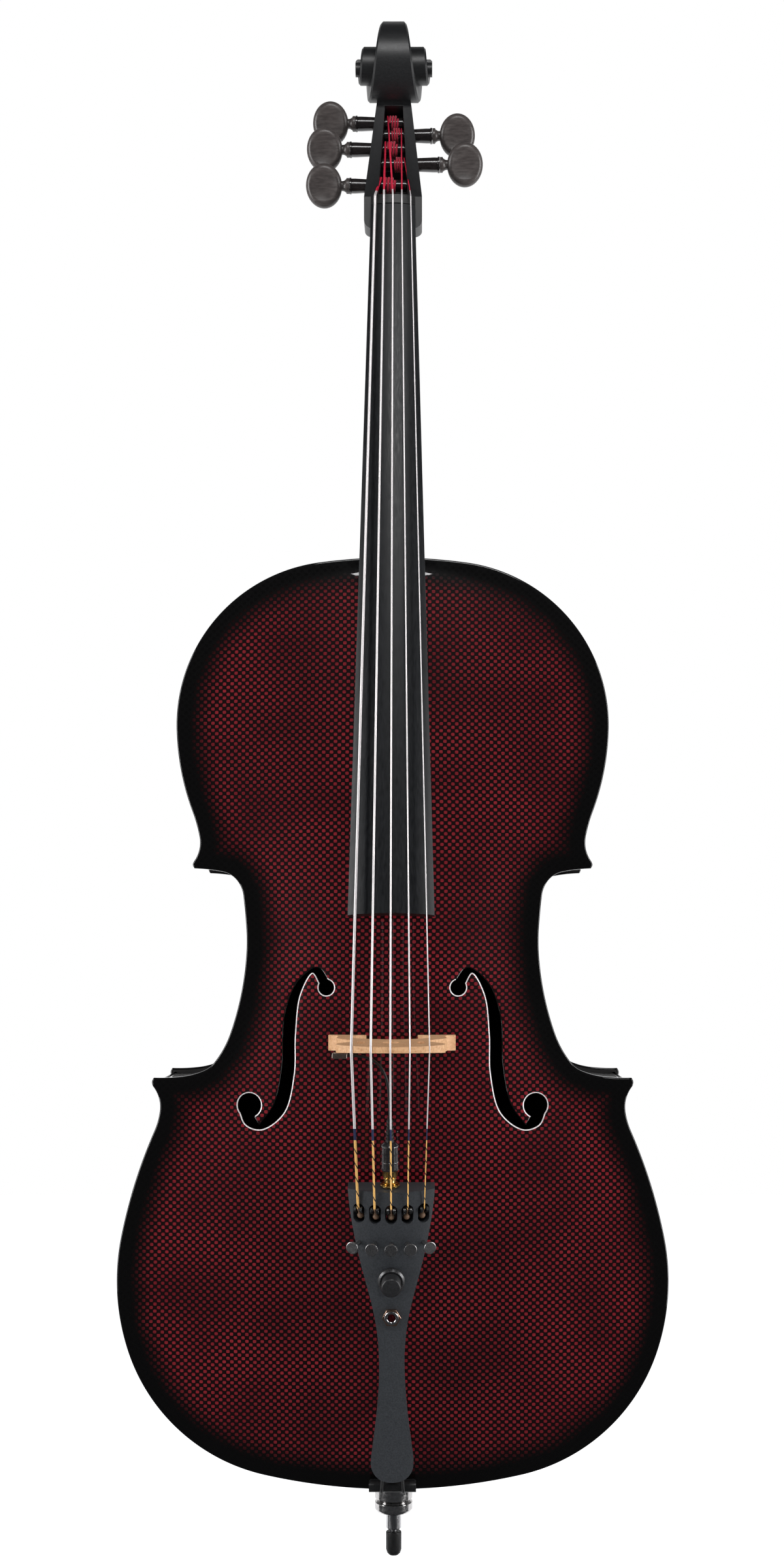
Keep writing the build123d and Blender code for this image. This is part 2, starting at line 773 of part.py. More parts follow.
for name, (side, along, outside) in peg_sites.items():
    plane = peg_plane(name)
    inner = mortise_half(along)
    wall = cheek_half(head_point(along, peg_depth)[1])
    ring = wall + outside
    bore = post_stem_radius + running_gap
    sleeve_profile = [
        (inner, bore), (inner, sleeve_radius), (wall + 0.5, sleeve_radius), (ring - 5, sleeve_end_radius),
        (ring - ring_length, sleeve_end_radius), (ring - ring_length, ring_radius), (ring, ring_radius),
        (ring, bore),
    ]
    sleeves.append(turned(plane, sleeve_profile))
    start = ring + running_gap * 4
    stub_end = ring - head_stub
    post_profile = [
        (stub_end - stub_gap, 0), (stub_end - stub_gap, post_stem_radius),
        (inner - wall_gap, post_stem_radius),
        (inner - wall_gap, post_radius), (wall_gap - inner, post_radius), (wall_gap - inner, post_tip_radius),
        (1 - wall, post_tip_radius), (1 - wall, 0),
    ]
    peg_posts[name] = turned(plane, post_profile)
    facing = plane.rotated((peg_rest_turn, 0, 0))
    with BuildPart() as thumb:
        with BuildSketch(facing):
            with Locations((start + baluster_length + peg_head_length / 2, 0)):
                Ellipse(peg_head_length / 2, peg_head_across / 2)
        extrude(amount=peg_head_thick / 2, both=True)
        fillet(thumb.edges().filter_by(GeomType.ELLIPSE), peg_head_thick * 0.36)
        middle = plane.from_local_coords((start + baluster_length + peg_head_length / 2, 0, 0))
        for face in (-1, 1):
            with Locations(middle + facing.z_dir * (face * (peg_head_thick / 2 + dish_radius - dish_depth))):
                Sphere(dish_radius, mode=Mode.SUBTRACT)
    with BuildPart() as head:
        with BuildSketch(plane):
            with BuildLine():
                Polyline(
                    (start, post_stem_radius), (stub_end, post_stem_radius), (stub_end, 0), (start + 9, 0),
                    (start + 9, 5.0),
                )
                flare = Spline((start + 9, 5.0), (start + 4.6, 4.1), (start + collar_length + 0.6, 5.2))
                Polyline(flare @ 1, (start + collar_length, 6.2), (start, 6.2), (start, post_stem_radius))
            make_face()
        revolve(axis=Axis(plane.origin, plane.x_dir))
        add(thumb.part)
    peg_heads[name] = head.part

# Windings: arcs in pairs along each half turn of a helix round the post, beside the string
windings = {}
for name in string_names:
    size = string_diameter[name]
    side = peg_sites[name][0]
    centre = post_centres[name]
    thread = winding_diameter[name]
    pitch = thread + winding_gap
    loop = post_radius + glue_gap + thread / 2
    first_x = string_post_x[name] + side * -1 * ((size + thread) / 2 + winding_gap)
    direction = -side

    def helix(turn):
        angle = 2 * math.pi * turn
        spot = Vector(first_x + direction * pitch * turn, -loop * math.cos(angle), loop * math.sin(angle))
        drift = Vector(direction * pitch / (2 * math.pi), loop * math.sin(angle), loop * math.cos(angle))
        return spot + Vector(0, centre.Y, centre.Z), drift.normalized()

    with BuildPart() as winding:
        with BuildLine() as path:
            spot, drift = helix(0)
            lead = Line(spot - drift * thread, spot)
            spine = []
            for half_turn in range(2 * winding_turns):
                spot, drift = helix(half_turn / 2)
                next_spot, next_drift = helix((half_turn + 1) / 2)
                chord = next_spot - spot
                both = drift + next_drift
                bend = 2 * (1 - drift.dot(next_drift))
                lean = chord.dot(both)
                reach_out = (math.sqrt(lean**2 + bend * chord.dot(chord)) - lean) / bend
                joint = (spot + next_spot + (drift - next_drift) * reach_out) / 2
                first_arc = TangentArc(spot, joint, tangent=drift)
                second_arc = TangentArc(joint, next_spot, tangent=first_arc % 1)
                spine += [arc @ (step / 12) for arc in (first_arc, second_arc) for step in range(12)]
            Line(next_spot, next_spot + next_drift * thread)
        with BuildSketch(Plane(lead @ 0, z_dir=lead % 0)):
            Circle(thread / 2)
        sweep(path=path.line)
    windings[name] = winding.part
    one_turn = 48
    apart = min(
        (spine[late] - spine[early]).length
        for early in range(len(spine))
        for late in range(early + one_turn // 2, len(spine))
    )
    print("winding", name, "least gap to itself", round(apart - thread, 2))

# Bridge, cut from maple: crown, heart and kidneys, waist, legs and feet that fit the arch
foot_outer, foot_inner = bridge_foot_span / 2, bridge_foot_span / 2 - 30.0
crown_half = bridge_crown_span / 2
crown_end = bridge_top(crown_half)
top_skin = arch_face(glue_gap, top_arch, 1)
with BuildPart() as bridge:
    with BuildSketch(Plane.XY.offset(bridge_z - 2)) as bridge_face:
        with BuildLine():
            crown_mid = (crown_half / 2, y_at(bridge_top(crown_half / 2)))
            crown = ThreePointArc((0, y_at(string_bridge_height)), crown_mid, (crown_half, y_at(crown_end)))
            shoulder = Spline(
                crown @ 1, (crown_half + 3, y_at(88)), (34, y_at(78)), (29, y_at(70)), (35, y_at(61)),
                (43, y_at(50)), (42, y_at(38)), (foot_outer, y_at(30)),
            )
            Line(shoulder @ 1, (foot_outer, y_at(5)))
            Line((foot_outer, y_at(5)), (foot_inner, y_at(5)))
            Line((foot_inner, y_at(5)), (foot_inner, y_at(30)))
            inside = Spline(
                (foot_inner, y_at(30)), (30, y_at(38)), (30, y_at(48)), (16, y_at(57)), (0, y_at(60)),
            )
            mirror(about=Plane.YZ)
        make_face()
        with Locations((0, y_at(80))):
            Circle(6.5, mode=Mode.SUBTRACT)
        with Locations((23, y_at(80)), (-23, y_at(80))):
            SlotOverall(15, 6, rotation=90, mode=Mode.SUBTRACT)
    extrude(amount=bridge_foot_depth + 10)
    with BuildSketch(Plane.YZ):
        with BuildLine():
            tail_crown_z = string_bridge_z - bridge_crown_depth / 2
            Polyline(
                (y_at(5), bridge_z), (y_at(string_bridge_height + 1), tail_crown_z),
                (y_at(string_bridge_height + 1), tail_crown_z + bridge_crown_depth),
                (y_at(34), bridge_z + bridge_foot_depth), (y_at(5), bridge_z + bridge_foot_depth),
                (y_at(5), bridge_z),
            )
        make_face()
    extrude(amount=80, both=True, mode=Mode.INTERSECT)
    extrude(top_skin, amount=sheet_reach + 20, dir=into_body, mode=Mode.SUBTRACT)
    for name in string_names:
        add(string_groove(name, groove_gap), mode=Mode.SUBTRACT)
bridge.part.label = "bridge"

# Saddle at the body's end, over which the tail cord runs

# Tailpiece: an arched shell that carries the tuners, the volume control and the output jack
tail_length = tail.to_local_coords(Vector(0, y_at(tail_end_height), tail_end_z)).Y
tail_side_plane = Plane(origin=tail.origin, x_dir=tail.y_dir, z_dir=tail.x_dir)
tail_cord_hole_x = 7.0
lever_spine = -7.0
tuner_pin_length = 2 * lever_half + 3.4
panel_bore = 4.8
socket_radius = 5.2
socket_depth = 9.0
tail_cord_hole_y = tail_length + 13.0
end_slant = 1.2
hollow_start = -30.0
channel_half = 3.8
arch_axis = tail.location * Location((0, tail_length / 2, -tail_arch_radius), (90, 0, 0))
with BuildPart() as tailpiece:
    with BuildSketch(tail.offset(-tail_depth)):
        with BuildLine() as tail_side:
            waist_y = tail_length * 0.577
            flank = Spline(
                (tail_half_width + 0.2, end_slant), (tail_half_width * 0.927, tail_length * 0.096),
                (tail_half_width * 0.66, tail_length * 0.274), (tail_waist + 3.2, tail_length * 0.427),
                (tail_waist, waist_y), (tail_waist + 3.7, tail_length * 0.822),
                (tail_foot, tail_length * 0.93),
            )
            foot_mid = (tail_foot - 2.4, tail_length + 7)
            foot = Spline(flank @ 1, foot_mid, (0, tail_length), tangents=[(0.05, -1), (-1, 0)])
            Line((0, end_slant), flank @ 0)
            mirror(about=Plane.YZ)
        make_face()
    extrude(amount=tail_depth + 1)
    with Locations(arch_axis):
        Cylinder(tail_arch_radius, 2 * abs(tail_length), mode=Mode.INTERSECT)
    with BuildSketch(tail_side_plane):
        with BuildLine():
            Polyline(
                (0, 2), (end_slant + 2, 2), (end_slant + 2, -tail_depth), (end_slant, -tail_depth), (0, 0),
                (0, 2),
            )
        make_face()
    extrude(amount=60, both=True, mode=Mode.SUBTRACT)
    with BuildSketch(tail.offset(-tail_depth - 1)):
        with BuildLine():
            inner_flank = Spline(
                (tail_half_width - tail_wall - 3.2, hollow_start),
                (tail_half_width * 0.66 - tail_wall, tail_length * 0.274),
                (tail_waist + 3.0 - tail_wall, tail_length * 0.427), (tail_waist - tail_wall, waist_y),
                (tail_waist + 2.0 - tail_wall, tail_length * 0.76),
            )
            Line((0, hollow_start), inner_flank @ 0)
            Line(inner_flank @ 1, (0, tail_length * 0.76))
            mirror(about=Plane.YZ)
        make_face()
    hollow = extrude(amount=tail_depth + 1, mode=Mode.PRIVATE)
    with BuildPart(mode=Mode.PRIVATE) as hollow_arch:
        with Locations(arch_axis):
            Cylinder(tail_arch_radius - tail_wall, 2 * abs(tail_length))
    add(hollow & hollow_arch.part, mode=Mode.SUBTRACT)
    with BuildSketch(tail_side_plane):
        with BuildLine():
            Polyline(
                (20, -tail_depth), (tail_length - 10, -tail_depth_end), (tail_length - 10, -tail_depth - 5),
                (20, -tail_depth - 5), (20, -tail_depth),
            )
        make_face()
    extrude(amount=60, both=True, mode=Mode.SUBTRACT)
    for index in range(5):
        tuner = tuner_plane(index)
        with BuildSketch(tuner.offset(-tail_wall - 6)):
            with Locations((0, (tuner_slot_top + tuner_slot_end) / 2)):
                SlotOverall(tuner_slot_top - tuner_slot_end, tuner_slot_width, rotation=90)
        extrude(amount=tail_wall + 10, mode=Mode.SUBTRACT)
        with BuildSketch(tuner.offset(lever_spine + 0.6)):
            with Locations((0, (tuner_slot_top + hollow_start) / 2 - 1)):
                Rectangle(2 * channel_half, tuner_slot_top - hollow_start + 2)
        extrude(amount=-30, mode=Mode.SUBTRACT)
        with Locations(tuner.location * Location((0, *tuner_pivot), (0, 90, 0))):
            Cylinder(tuner_pin_radius + glue_gap / 2, tuner_pin_length + 2 * glue_gap, mode=Mode.SUBTRACT)
        with BuildSketch(tuner.offset(-tail_wall - 3)):
            with Locations((0, tuner_screw_y)):
                Circle(tuner_screw_radius + running_gap)
        extrude(amount=tail_wall + 10, mode=Mode.SUBTRACT)
    with BuildSketch(tail.offset(-tail_depth - 5)):
        with Locations((0, knob_y), (0, jack_y)):
            Circle(panel_bore)
    extrude(amount=tail_depth + 10, mode=Mode.SUBTRACT)
    with Locations(tail.location * Location((plug_x, -socket_depth / 2 + 1, socket_z), (90, 0, 0))):
        Cylinder(socket_radius + glue_gap / 2, socket_depth + 2, mode=Mode.SUBTRACT)
    with BuildSketch(tail.offset(-tail_depth - 2)):
        with Locations((-tail_cord_hole_x, tail_cord_hole_y), (tail_cord_hole_x, tail_cord_hole_y)):
            Circle(tail_cord_diameter / 2 + 0.3)
    extrude(amount=tail_depth - 2, mode=Mode.SUBTRACT)
tailpiece.part.label = "tailpiece"


# Fine tuners: a forked lever on a pin in each channel, and the screw that presses its arm
lever_arm_end = -44.0
arm_half = 1.8
lever_under = -10.5
arm_top = -8.0
screw_tip_radius = 1.1
# The screw turns without travelling here, so its tip leaves room for the arm's whole swing
arm_rise = (tuner_pivot[0] - tuner_screw_y + screw_tip_radius) * math.sin(math.radians(lever_swing))
screw_tip = arm_top + arm_rise + glue_gap
levers = {}
tuner_screws = {}
tuner_pins = []
for index, name in enumerate(string_names):
    tuner = tuner_plane(index)
    beside = Plane(origin=tuner.origin, x_dir=tuner.y_dir, z_dir=tuner.x_dir)
    pivot = tuner.location * Location((0, *tuner_pivot), (0, 90, 0))
    with BuildPart() as lever:
        with BuildSketch(beside):
            with BuildLine():
                hook = Spline(
                    (-13.0, -5.0), (-12.4, -1.0), (-13.6, 1.8), (-16.4, 2.2), (-18.0, -0.5),
                    (-18.0, lever_spine),
                )
                Polyline(
                    hook @ 1, (-23.5, lever_spine), (-25.5, arm_top), (-27.5, arm_top),
                    (-27.5, lever_under), (-17, lever_under), (-13.0, -8.5), hook @ 0,
                )
            make_face()
        extrude(amount=lever_half, both=True)
        with BuildSketch(tuner.offset(lever_under)):
            with Locations((0, (lever_arm_end - 25) / 2)):
                SlotOverall(-25 - lever_arm_end, 2 * arm_half, rotation=90)
        extrude(amount=arm_top - lever_under)
        with BuildSketch(beside):
            with Locations((-15.5, 0)):
                Rectangle(8, -2 * lever_spine)
        extrude(amount=prong_gap, both=True, mode=Mode.SUBTRACT)
        with Locations(pivot):
            Cylinder(tuner_pin_radius + running_gap, 20, mode=Mode.SUBTRACT)
    levers[name] = lever.part
    with BuildPart() as pin:
        with Locations(pivot):
            Cylinder(tuner_pin_radius, tuner_pin_length)
    tuner_pins.append(pin.part)
    stem = Plane(tuner.location * Location((0, tuner_screw_y, 0)))
    screw_side = Plane(origin=stem.origin, x_dir=stem.z_dir, z_dir=stem.x_dir)
    screw_top = tuner_disc_height
    tuner_screws[name] = turned(screw_side, [
        (screw_tip, 0), (screw_tip, screw_tip_radius), (screw_tip + 0.9, tuner_screw_radius),
        (screw_top - 1.8, tuner_screw_radius), (screw_top - 1.8, tuner_disc_radius - 0.3),
        (screw_top - 1.5, tuner_disc_radius), (screw_top - 0.3, tuner_disc_radius),
        (screw_top, tuner_disc_radius - 0.3), (screw_top, 0),
    ])

# Volume control: a potentiometer held in the tailpiece, and the knob on its shaft
shaft_radius = 3.0
shaft_end = 13.0
ring_height = 5.0
knob_base = 1.6
can_radius = 8.0


def panel_side(y):
    """Half-profile plane at a control on the tailpiece: x out of the face, y outward from its axis."""
    spot = Plane(tail.location * Location((0, y, 0)))
    return Plane(origin=spot.origin, x_dir=spot.z_dir, z_dir=spot.x_dir)


with BuildPart() as volume_pot:
    add(turned(panel_side(knob_y), [
        (-1.2, shaft_radius), (-1.2, knob_ring_radius), (ring_height - 1.5, knob_ring_radius),
        (ring_height, knob_ring_radius - 1.5), (ring_height, knob_radius + 0.6),
        (knob_base - 0.4, knob_radius + 0.6), (knob_base - 0.4, shaft_radius),
    ]))
    with Locations(arch_axis):
        Cylinder(tail_arch_radius + glue_gap, 2 * abs(tail_length), mode=Mode.SUBTRACT)
    add(turned(panel_side(knob_y), [
        (-12.5, 0), (-12.5, can_radius), (-4.0, can_radius), (-4.0, panel_bore - 0.1),
        (knob_base - 0.4, panel_bore - 0.1), (knob_base - 0.4, shaft_radius), (shaft_end, shaft_radius),
        (shaft_end, 0),
    ]))
volume_pot.part.label = "volume_pot"
volume_knob = turned(panel_side(knob_y), [
    (knob_base, shaft_radius + running_gap), (knob_base, knob_radius), (knob_height - 1.4, knob_radius),
    (knob_height - 0.4, knob_radius - 0.6), (knob_height, knob_radius - 1.6), (knob_height, 0),
    (shaft_end + 0.3, 0), (shaft_end + 0.3, shaft_radius + running_gap),
])

# Output jack: a barrel under the face, its bright collar above, and the nut that clamps it
jack_nut_height = 2.6
jack_lip = 3.6
jack_depth = 24.0
jack_washer = 0.4
output_jack = turned(panel_side(jack_y), [
    (-jack_depth, jack_bore), (-jack_depth, 6.0), (-tail_wall - 0.6, 6.0),
    (-tail_wall - 0.6, panel_bore - 0.1),
    (jack_nut_height + jack_washer + 0.1, panel_bore - 0.1), (jack_nut_height + jack_washer + 0.1, 5.7),
    (jack_lip, 5.2), (jack_lip, jack_bore + 0.6), (jack_lip - 0.6, jack_bore),
])
with BuildPart() as jack_nut:
    with BuildSketch(tail.offset(jack_washer)):
        with Locations((0, jack_y)):
            RegularPolygon(jack_nut_across / 2, 6)
            Circle(panel_bore, mode=Mode.SUBTRACT)
    extrude(amount=jack_nut_height)
jack_nut.part.label = "jack_nut"

# Input socket in the tailpiece's end, the plug in it and the boot on its lead
socket_bore = 2.4
plug_axis = Plane(tail.location * Location((plug_x, 0, socket_z)))
plug_side = Plane(origin=plug_axis.origin, x_dir=plug_axis.y_dir, z_dir=plug_axis.x_dir)
flange_start = end_slant + 0.3
flange_end = flange_start + 1.4
input_socket = turned(plug_side, [
    (-socket_depth, socket_bore), (-socket_depth, socket_radius), (flange_start, socket_radius),
    (flange_start, plug_socket_radius), (flange_end, plug_socket_radius - 0.4), (flange_end, socket_bore),
])
plug_start = flange_end + glue_gap
body_start = plug_start + plug_barrel_length
boot_start = body_start + plug_body_length
boot_end = boot_start + plug_boot_length
lead_plug = turned(plug_side, [
    (-socket_depth + 1, 0), (-socket_depth + 1, socket_bore - running_gap),
    (plug_start, socket_bore - running_gap),
    (plug_start, 4.8), (plug_start + 1.4, 5.0), (plug_start + 2.2, 4.0), (plug_start + 4.5, 4.0),
    (plug_start + 7.5, 5.9), (body_start, 6.2), (body_start, 6.9), (body_start + 1.2, 7.0),
    (body_start + 1.6, 6.6),
    (boot_start - 3.4, 6.6), (boot_start - 3.0, 6.9), (boot_start - 1.6, 6.6), (boot_start, 4.4),
    (boot_start, 0),
])
boot_start_gap = boot_start + glue_gap
rib_count = 6
rib_pitch = (plug_boot_length - 3) / rib_count
boot_profile = [(boot_start_gap, 0), (boot_start_gap, 3.4)]
for rib in range(rib_count):
    base = boot_start_gap + 1 + rib * rib_pitch
    outer = 3.3 - 0.16 * rib
    boot_profile += [(base, outer), (base + rib_pitch * 0.55, outer), (base + rib_pitch * 0.6, outer - 0.6)]
    boot_profile.append((base + rib_pitch * 0.95, outer - 0.65))
boot_profile += [(boot_end, 1.9), (boot_end, 0)]
lead_boot = turned(plug_side, boot_profile)

# Pickup on the bridge's bass wing, and its lead
pickup_height = 82.0
pickup_tall = 7.0
pickup_deep = 4.6
pickup_right = -33.5
lead_diameter = 2.1
bridge_lean = (string_bridge_z - bridge_crown_depth / 2 - bridge_z) / (string_bridge_height + 1 - 5)
pickup_face_z = bridge_z + bridge_lean * (pickup_height - pickup_tall / 2 - 5) - glue_gap
with BuildPart() as pickup:
    with Locations((pickup_right - pickup_length / 2, y_at(pickup_height), pickup_face_z - pickup_deep / 2)):
        Box(pickup_length, pickup_tall, pickup_deep)
    fillet(pickup.edges().filter_by(Axis.Y), 0.9)
pickup.part.label = "pickup"
boot_tip = plug_side.from_local_coords((boot_end + glue_gap, 0, 0))
lead_z = pickup_face_z - pickup_deep / 2
lead_points = [
    Vector(pickup_right + glue_gap, y_at(pickup_height), lead_z),
    Vector(-21.5, y_at(82.0), lead_z),
    Vector(-10.8, y_at(82.6), lead_z - 4.8),
    Vector(-3.6, y_at(81.0), lead_z - 15.0),
    boot_tip + plug_side.x_dir * 15.0,
    boot_tip,
]
lead_radii = []
for before, at, after in zip(lead_points, lead_points[1:], lead_points[2:]):
    turn = math.radians((at - before).get_angle(after - at))
    shorter = min((at - before).length, (after - at).length)
    lead_radii.append(0.45 * shorter / math.tan(turn / 2))
pickup_lead = swept_tube(lead_points, lead_radii, lead_diameter)
lead_length = sum((b - a).length for a, b in zip(lead_points, lead_points[1:]))
print("lead radii", [round(r, 1) for r in lead_radii], "runs", round(lead_length, 1))
print("lead volume over section", round(pickup_lead.volume / (math.pi * lead_diameter**2 / 4), 1))

# Endpin: plug in the end block, collet ring, rod with its ferrule and the rubber tip
stem_top_z = body_end + plug_stem_length
flange_z = body_end + edge_overhang - glue_gap
groove_top_z = flange_z - 3.2
groove_end_z = groove_top_z - 4.4
groove_radius = 9.4
spigot_radius = 8.0
spigot_end_z = collar_end_z + 4.5
rod_bore = endpin_rod_radius + endpin_bore_gap
endpin_side = Plane(origin=(0, endpin_y, 0), x_dir=(0, 0, 1), z_dir=(1, 0, 0))
endpin_plug = turned(endpin_side, [
    (stem_top_z, rod_bore), (stem_top_z, plug_stem_radius), (flange_z, plug_stem_radius), (flange_z, 14.0),
    (groove_top_z, 14.0), (groove_top_z, groove_radius), (groove_end_z, groove_radius), (groove_end_z, 13.0),
    (groove_end_z - 2.5, collar_radius), (collar_split_z + 1.6, collar_radius),
    (collar_split_z, collar_radius - 1.8),
    (collar_split_z, spigot_radius), (spigot_end_z, spigot_radius), (spigot_end_z, rod_bore),
])
ring_top_z = collar_split_z - 0.2
lock_ring = turned(endpin_side, [
    (ring_top_z, spigot_radius + running_gap), (ring_top_z, collar_radius - 1.8),
    (ring_top_z - 1.6, collar_radius),
    (collar_end_z + 3.2, collar_radius), (collar_end_z + 1.0, collar_radius - 1.6),
    (collar_end_z, collar_radius - 4),
    (collar_end_z, rod_bore), (spigot_end_z - 0.2, rod_bore),
    (spigot_end_z - 0.2, spigot_radius + running_gap),
])
ferrule_top_z = collar_end_z - 0.2
tip_top_z = ferrule_end_z - 2.2
spike_end_z = tip_end_z + 4.0
rod_top_z = ferrule_end_z + endpin_rod_length
endpin_rod = turned(endpin_side, [
    (rod_top_z, 0), (rod_top_z, endpin_rod_radius - 0.8), (rod_top_z - 0.8, endpin_rod_radius),
    (ferrule_top_z, endpin_rod_radius), (ferrule_top_z, 5.9), (ferrule_top_z - 0.5, 6.3),
    (ferrule_end_z + 0.6, 6.3),
    (ferrule_end_z, 5.7), (ferrule_end_z, 3.0), (spike_end_z + 3, 3.0), (spike_end_z, 1.0), (spike_end_z, 0),
])
tip_bore = 3.0 + glue_gap
rubber_tip = turned(endpin_side, [
    (tip_top_z, tip_bore), (tip_top_z, tip_radius - 0.8), (tip_top_z - 0.8, tip_radius),
    (tip_end_z + 5.5, tip_radius),
    (tip_end_z + 2.4, tip_radius - 1.0), (tip_end_z + 0.7, tip_radius - 2.7), (tip_end_z, tip_radius - 5.0),
    (tip_end_z, 0), (spike_end_z - glue_gap, 0), (spike_end_z - glue_gap, tip_bore),
])

# Tail cord: one loop from the tailpiece over the saddle and round the endpin plug
cord_out = tail_cord_diameter / 2 + 0.15
loop_radius = groove_radius + cord_out
groove_z = (groove_top_z + groove_end_z) / 2
hole_depth = tail_depth_end + 5.5
half_cord = [
    tail.from_local_coords((tail_cord_hole_x, tail_cord_hole_y, -6.0)),
    tail.from_local_coords((tail_cord_hole_x, tail_cord_hole_y, -hole_depth)),
    Vector(8.7, y_at(saddle_height + cord_out + 0.6), body_end + 3.0),
    Vector(9.2, y_at(saddle_height - 6), groove_z),
    Vector(loop_radius, endpin_y - 4, groove_z),
    Vector(loop_radius, endpin_y + loop_radius, groove_z),
]
other_half = [Vector(-point.X, point.Y, point.Z) for point in reversed(half_cord)]
cord_bends = [3.0, 5.0, 5.0, 40.0, loop_radius - 0.1]
cord_route = half_cord + other_half
cord_bends += cord_bends[::-1]
tail_cord = swept_tube(cord_route, cord_bends, tail_cord_diameter)

# Saddle: the hard edge at the foot of the top, notched where the cord crosses it
with BuildPart() as saddle:
    with BuildSketch(Plane.YZ):
        with BuildLine():
            base = Line((y_at(-plate_edge), body_end), (y_at(-plate_edge), body_end + edge_overhang + 4.9))
            face = Line(base @ 1, (y_at(saddle_height - 3), body_end + edge_overhang + 4.9))
            crown_mid = (y_at(saddle_height), body_end + 5.5)
            crown = ThreePointArc(face @ 1, crown_mid, (y_at(saddle_height - 4), body_end))
            Line(crown @ 1, base @ 0)
        make_face()
    extrude(amount=saddle_width / 2, both=True)
    fillet(saddle.edges().filter_by(Axis.Y).group_by(Axis.Z)[-1], 2)
    cord_space = swept_tube(cord_route, cord_bends, tail_cord_diameter + 2 * glue_gap)
    add(cord_space, mode=Mode.SUBTRACT)
saddle.part.label = "saddle"

os.makedirs("parts", exist_ok=True)
pieces = [top_plate, back_plate, ribs, neck_block, end_block, bass_bar, sound_post, fingerboard, nut, neck]
pieces += [bridge, saddle, tailpiece, volume_pot, jack_nut, pickup]
nodes = {piece.part.label: piece.part for piece in pieces}
nodes["peg_sleeves"] = Compound(children=sleeves)
nodes["tuner_pins"] = Compound(children=tuner_pins)
nodes["volume_knob"] = volume_knob
nodes["output_jack"] = output_jack
nodes["input_socket"] = input_socket
nodes["lead_plug"] = lead_plug
nodes["lead_boot"] = lead_boot
nodes["pickup_lead"] = pickup_lead
nodes["endpin_plug"] = endpin_plug
nodes["endpin_lock_ring"] = lock_ring
nodes["endpin_rod"] = endpin_rod
nodes["rubber_tip"] = rubber_tip
nodes["tail_cord"] = tail_cord
for name in string_names:
    nodes[f"peg_head_{name}"] = peg_heads[name]
    nodes[f"peg_post_{name}"] = peg_posts[name]
    nodes[f"winding_{name}"] = windings[name]
    nodes[f"string_{name}"] = strings[name]
    nodes[f"tuner_lever_{name}"] = levers[name]
    nodes[f"tuner_screw_{name}"] = tuner_screws[name]
for name, solid in nodes.items():
    solid.label = name
    export_step(solid, f"parts/{name}.step")
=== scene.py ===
import cmath
import math

import bmesh
import bpy
import numpy as np
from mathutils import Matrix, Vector
from mathutils.geometry import delaunay_2d_cdt


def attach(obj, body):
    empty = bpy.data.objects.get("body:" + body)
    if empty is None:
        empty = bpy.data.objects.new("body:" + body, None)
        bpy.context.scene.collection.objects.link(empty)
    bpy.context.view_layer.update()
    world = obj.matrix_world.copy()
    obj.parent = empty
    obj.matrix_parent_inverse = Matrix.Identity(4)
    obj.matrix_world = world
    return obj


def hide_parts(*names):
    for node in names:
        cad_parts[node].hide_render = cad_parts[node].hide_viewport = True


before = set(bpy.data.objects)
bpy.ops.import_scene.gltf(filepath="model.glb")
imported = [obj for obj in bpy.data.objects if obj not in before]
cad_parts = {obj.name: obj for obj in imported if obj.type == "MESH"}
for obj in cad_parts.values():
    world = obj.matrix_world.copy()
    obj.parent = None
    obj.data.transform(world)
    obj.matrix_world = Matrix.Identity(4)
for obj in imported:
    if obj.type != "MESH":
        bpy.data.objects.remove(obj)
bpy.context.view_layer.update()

# The view: square to the front of the cello, level with its lower bout, as the photograph was taken.
# The picture's middle lies above and a little left of the lens axis, so the lens is shifted.
lens = bpy.data.cameras.new("front_view")
lens.sensor_width = 36.0
lens.lens = 43.0
lens.shift_x = -0.0197
lens.shift_y = 0.0979
lens.clip_end = 30.0
camera = bpy.data.objects.new("front_view", lens)
camera.location = (0.0245, -1.5565, -0.580)
camera.rotation_euler = (math.radians(90), 0, 0)
bpy.context.collection.objects.link(camera)
bpy.context.scene.camera = camera
bpy.context.scene.view_settings.view_transform = "Standard"

# Pickup lead: a thin soft black cord from the pickup on the bridge down to its plug.
# It leaves the pickup towards the middle, bends down behind the strings and enters the plug's boot.
MM = 0.001


def add_node(tree, kind, inputs=None, **settings):
    """One shader node: settings are its own switches, inputs its sockets, each a value or another node's output."""
    made = tree.nodes.new(kind)
    for key, value in settings.items():
        setattr(made, key, value)
    for socket, value in (inputs or {}).items():
        if isinstance(value, bpy.types.NodeSocket):
            tree.links.new(value, made.inputs[socket])
        else:
            made.inputs[socket].default_value = value
    return made


def new_finish(name, **surface):
    """A material with its shader; surface holds the constants that go on the shader's own sockets."""
    finish = bpy.data.materials.new(name)
    finish.use_nodes = True
    tree = finish.node_tree
    shader = tree.nodes["Principled BSDF"]
    for socket, value in surface.items():
        shader.inputs[SOCKETS[socket]].default_value = value
    return finish, tree, shader


SOCKETS = {
    "colour": "Base Color",
    "metal": "Metallic",
    "rough": "Roughness",
    "coat": "Coat Weight",
    "coat_rough": "Coat Roughness",
    "gloss": "Specular IOR Level",
    "sheen": "Sheen Weight",
    "sheen_rough": "Sheen Roughness",
}


def speckle(tree, size, detail=2.0, stretch=(1, 1, 1)):
    """Fine noise in the piece's own space: size is its grain in metres, stretch draws it out along an axis."""
    space = add_node(tree, "ShaderNodeTexCoord")
    scaled = add_node(tree, "ShaderNodeMapping", {"Vector": space.outputs["Object"], "Scale": tuple(s / size for s in stretch)})
    return add_node(tree, "ShaderNodeTexNoise", {"Vector": scaled.outputs[0], "Scale": 1.0, "Detail": detail})


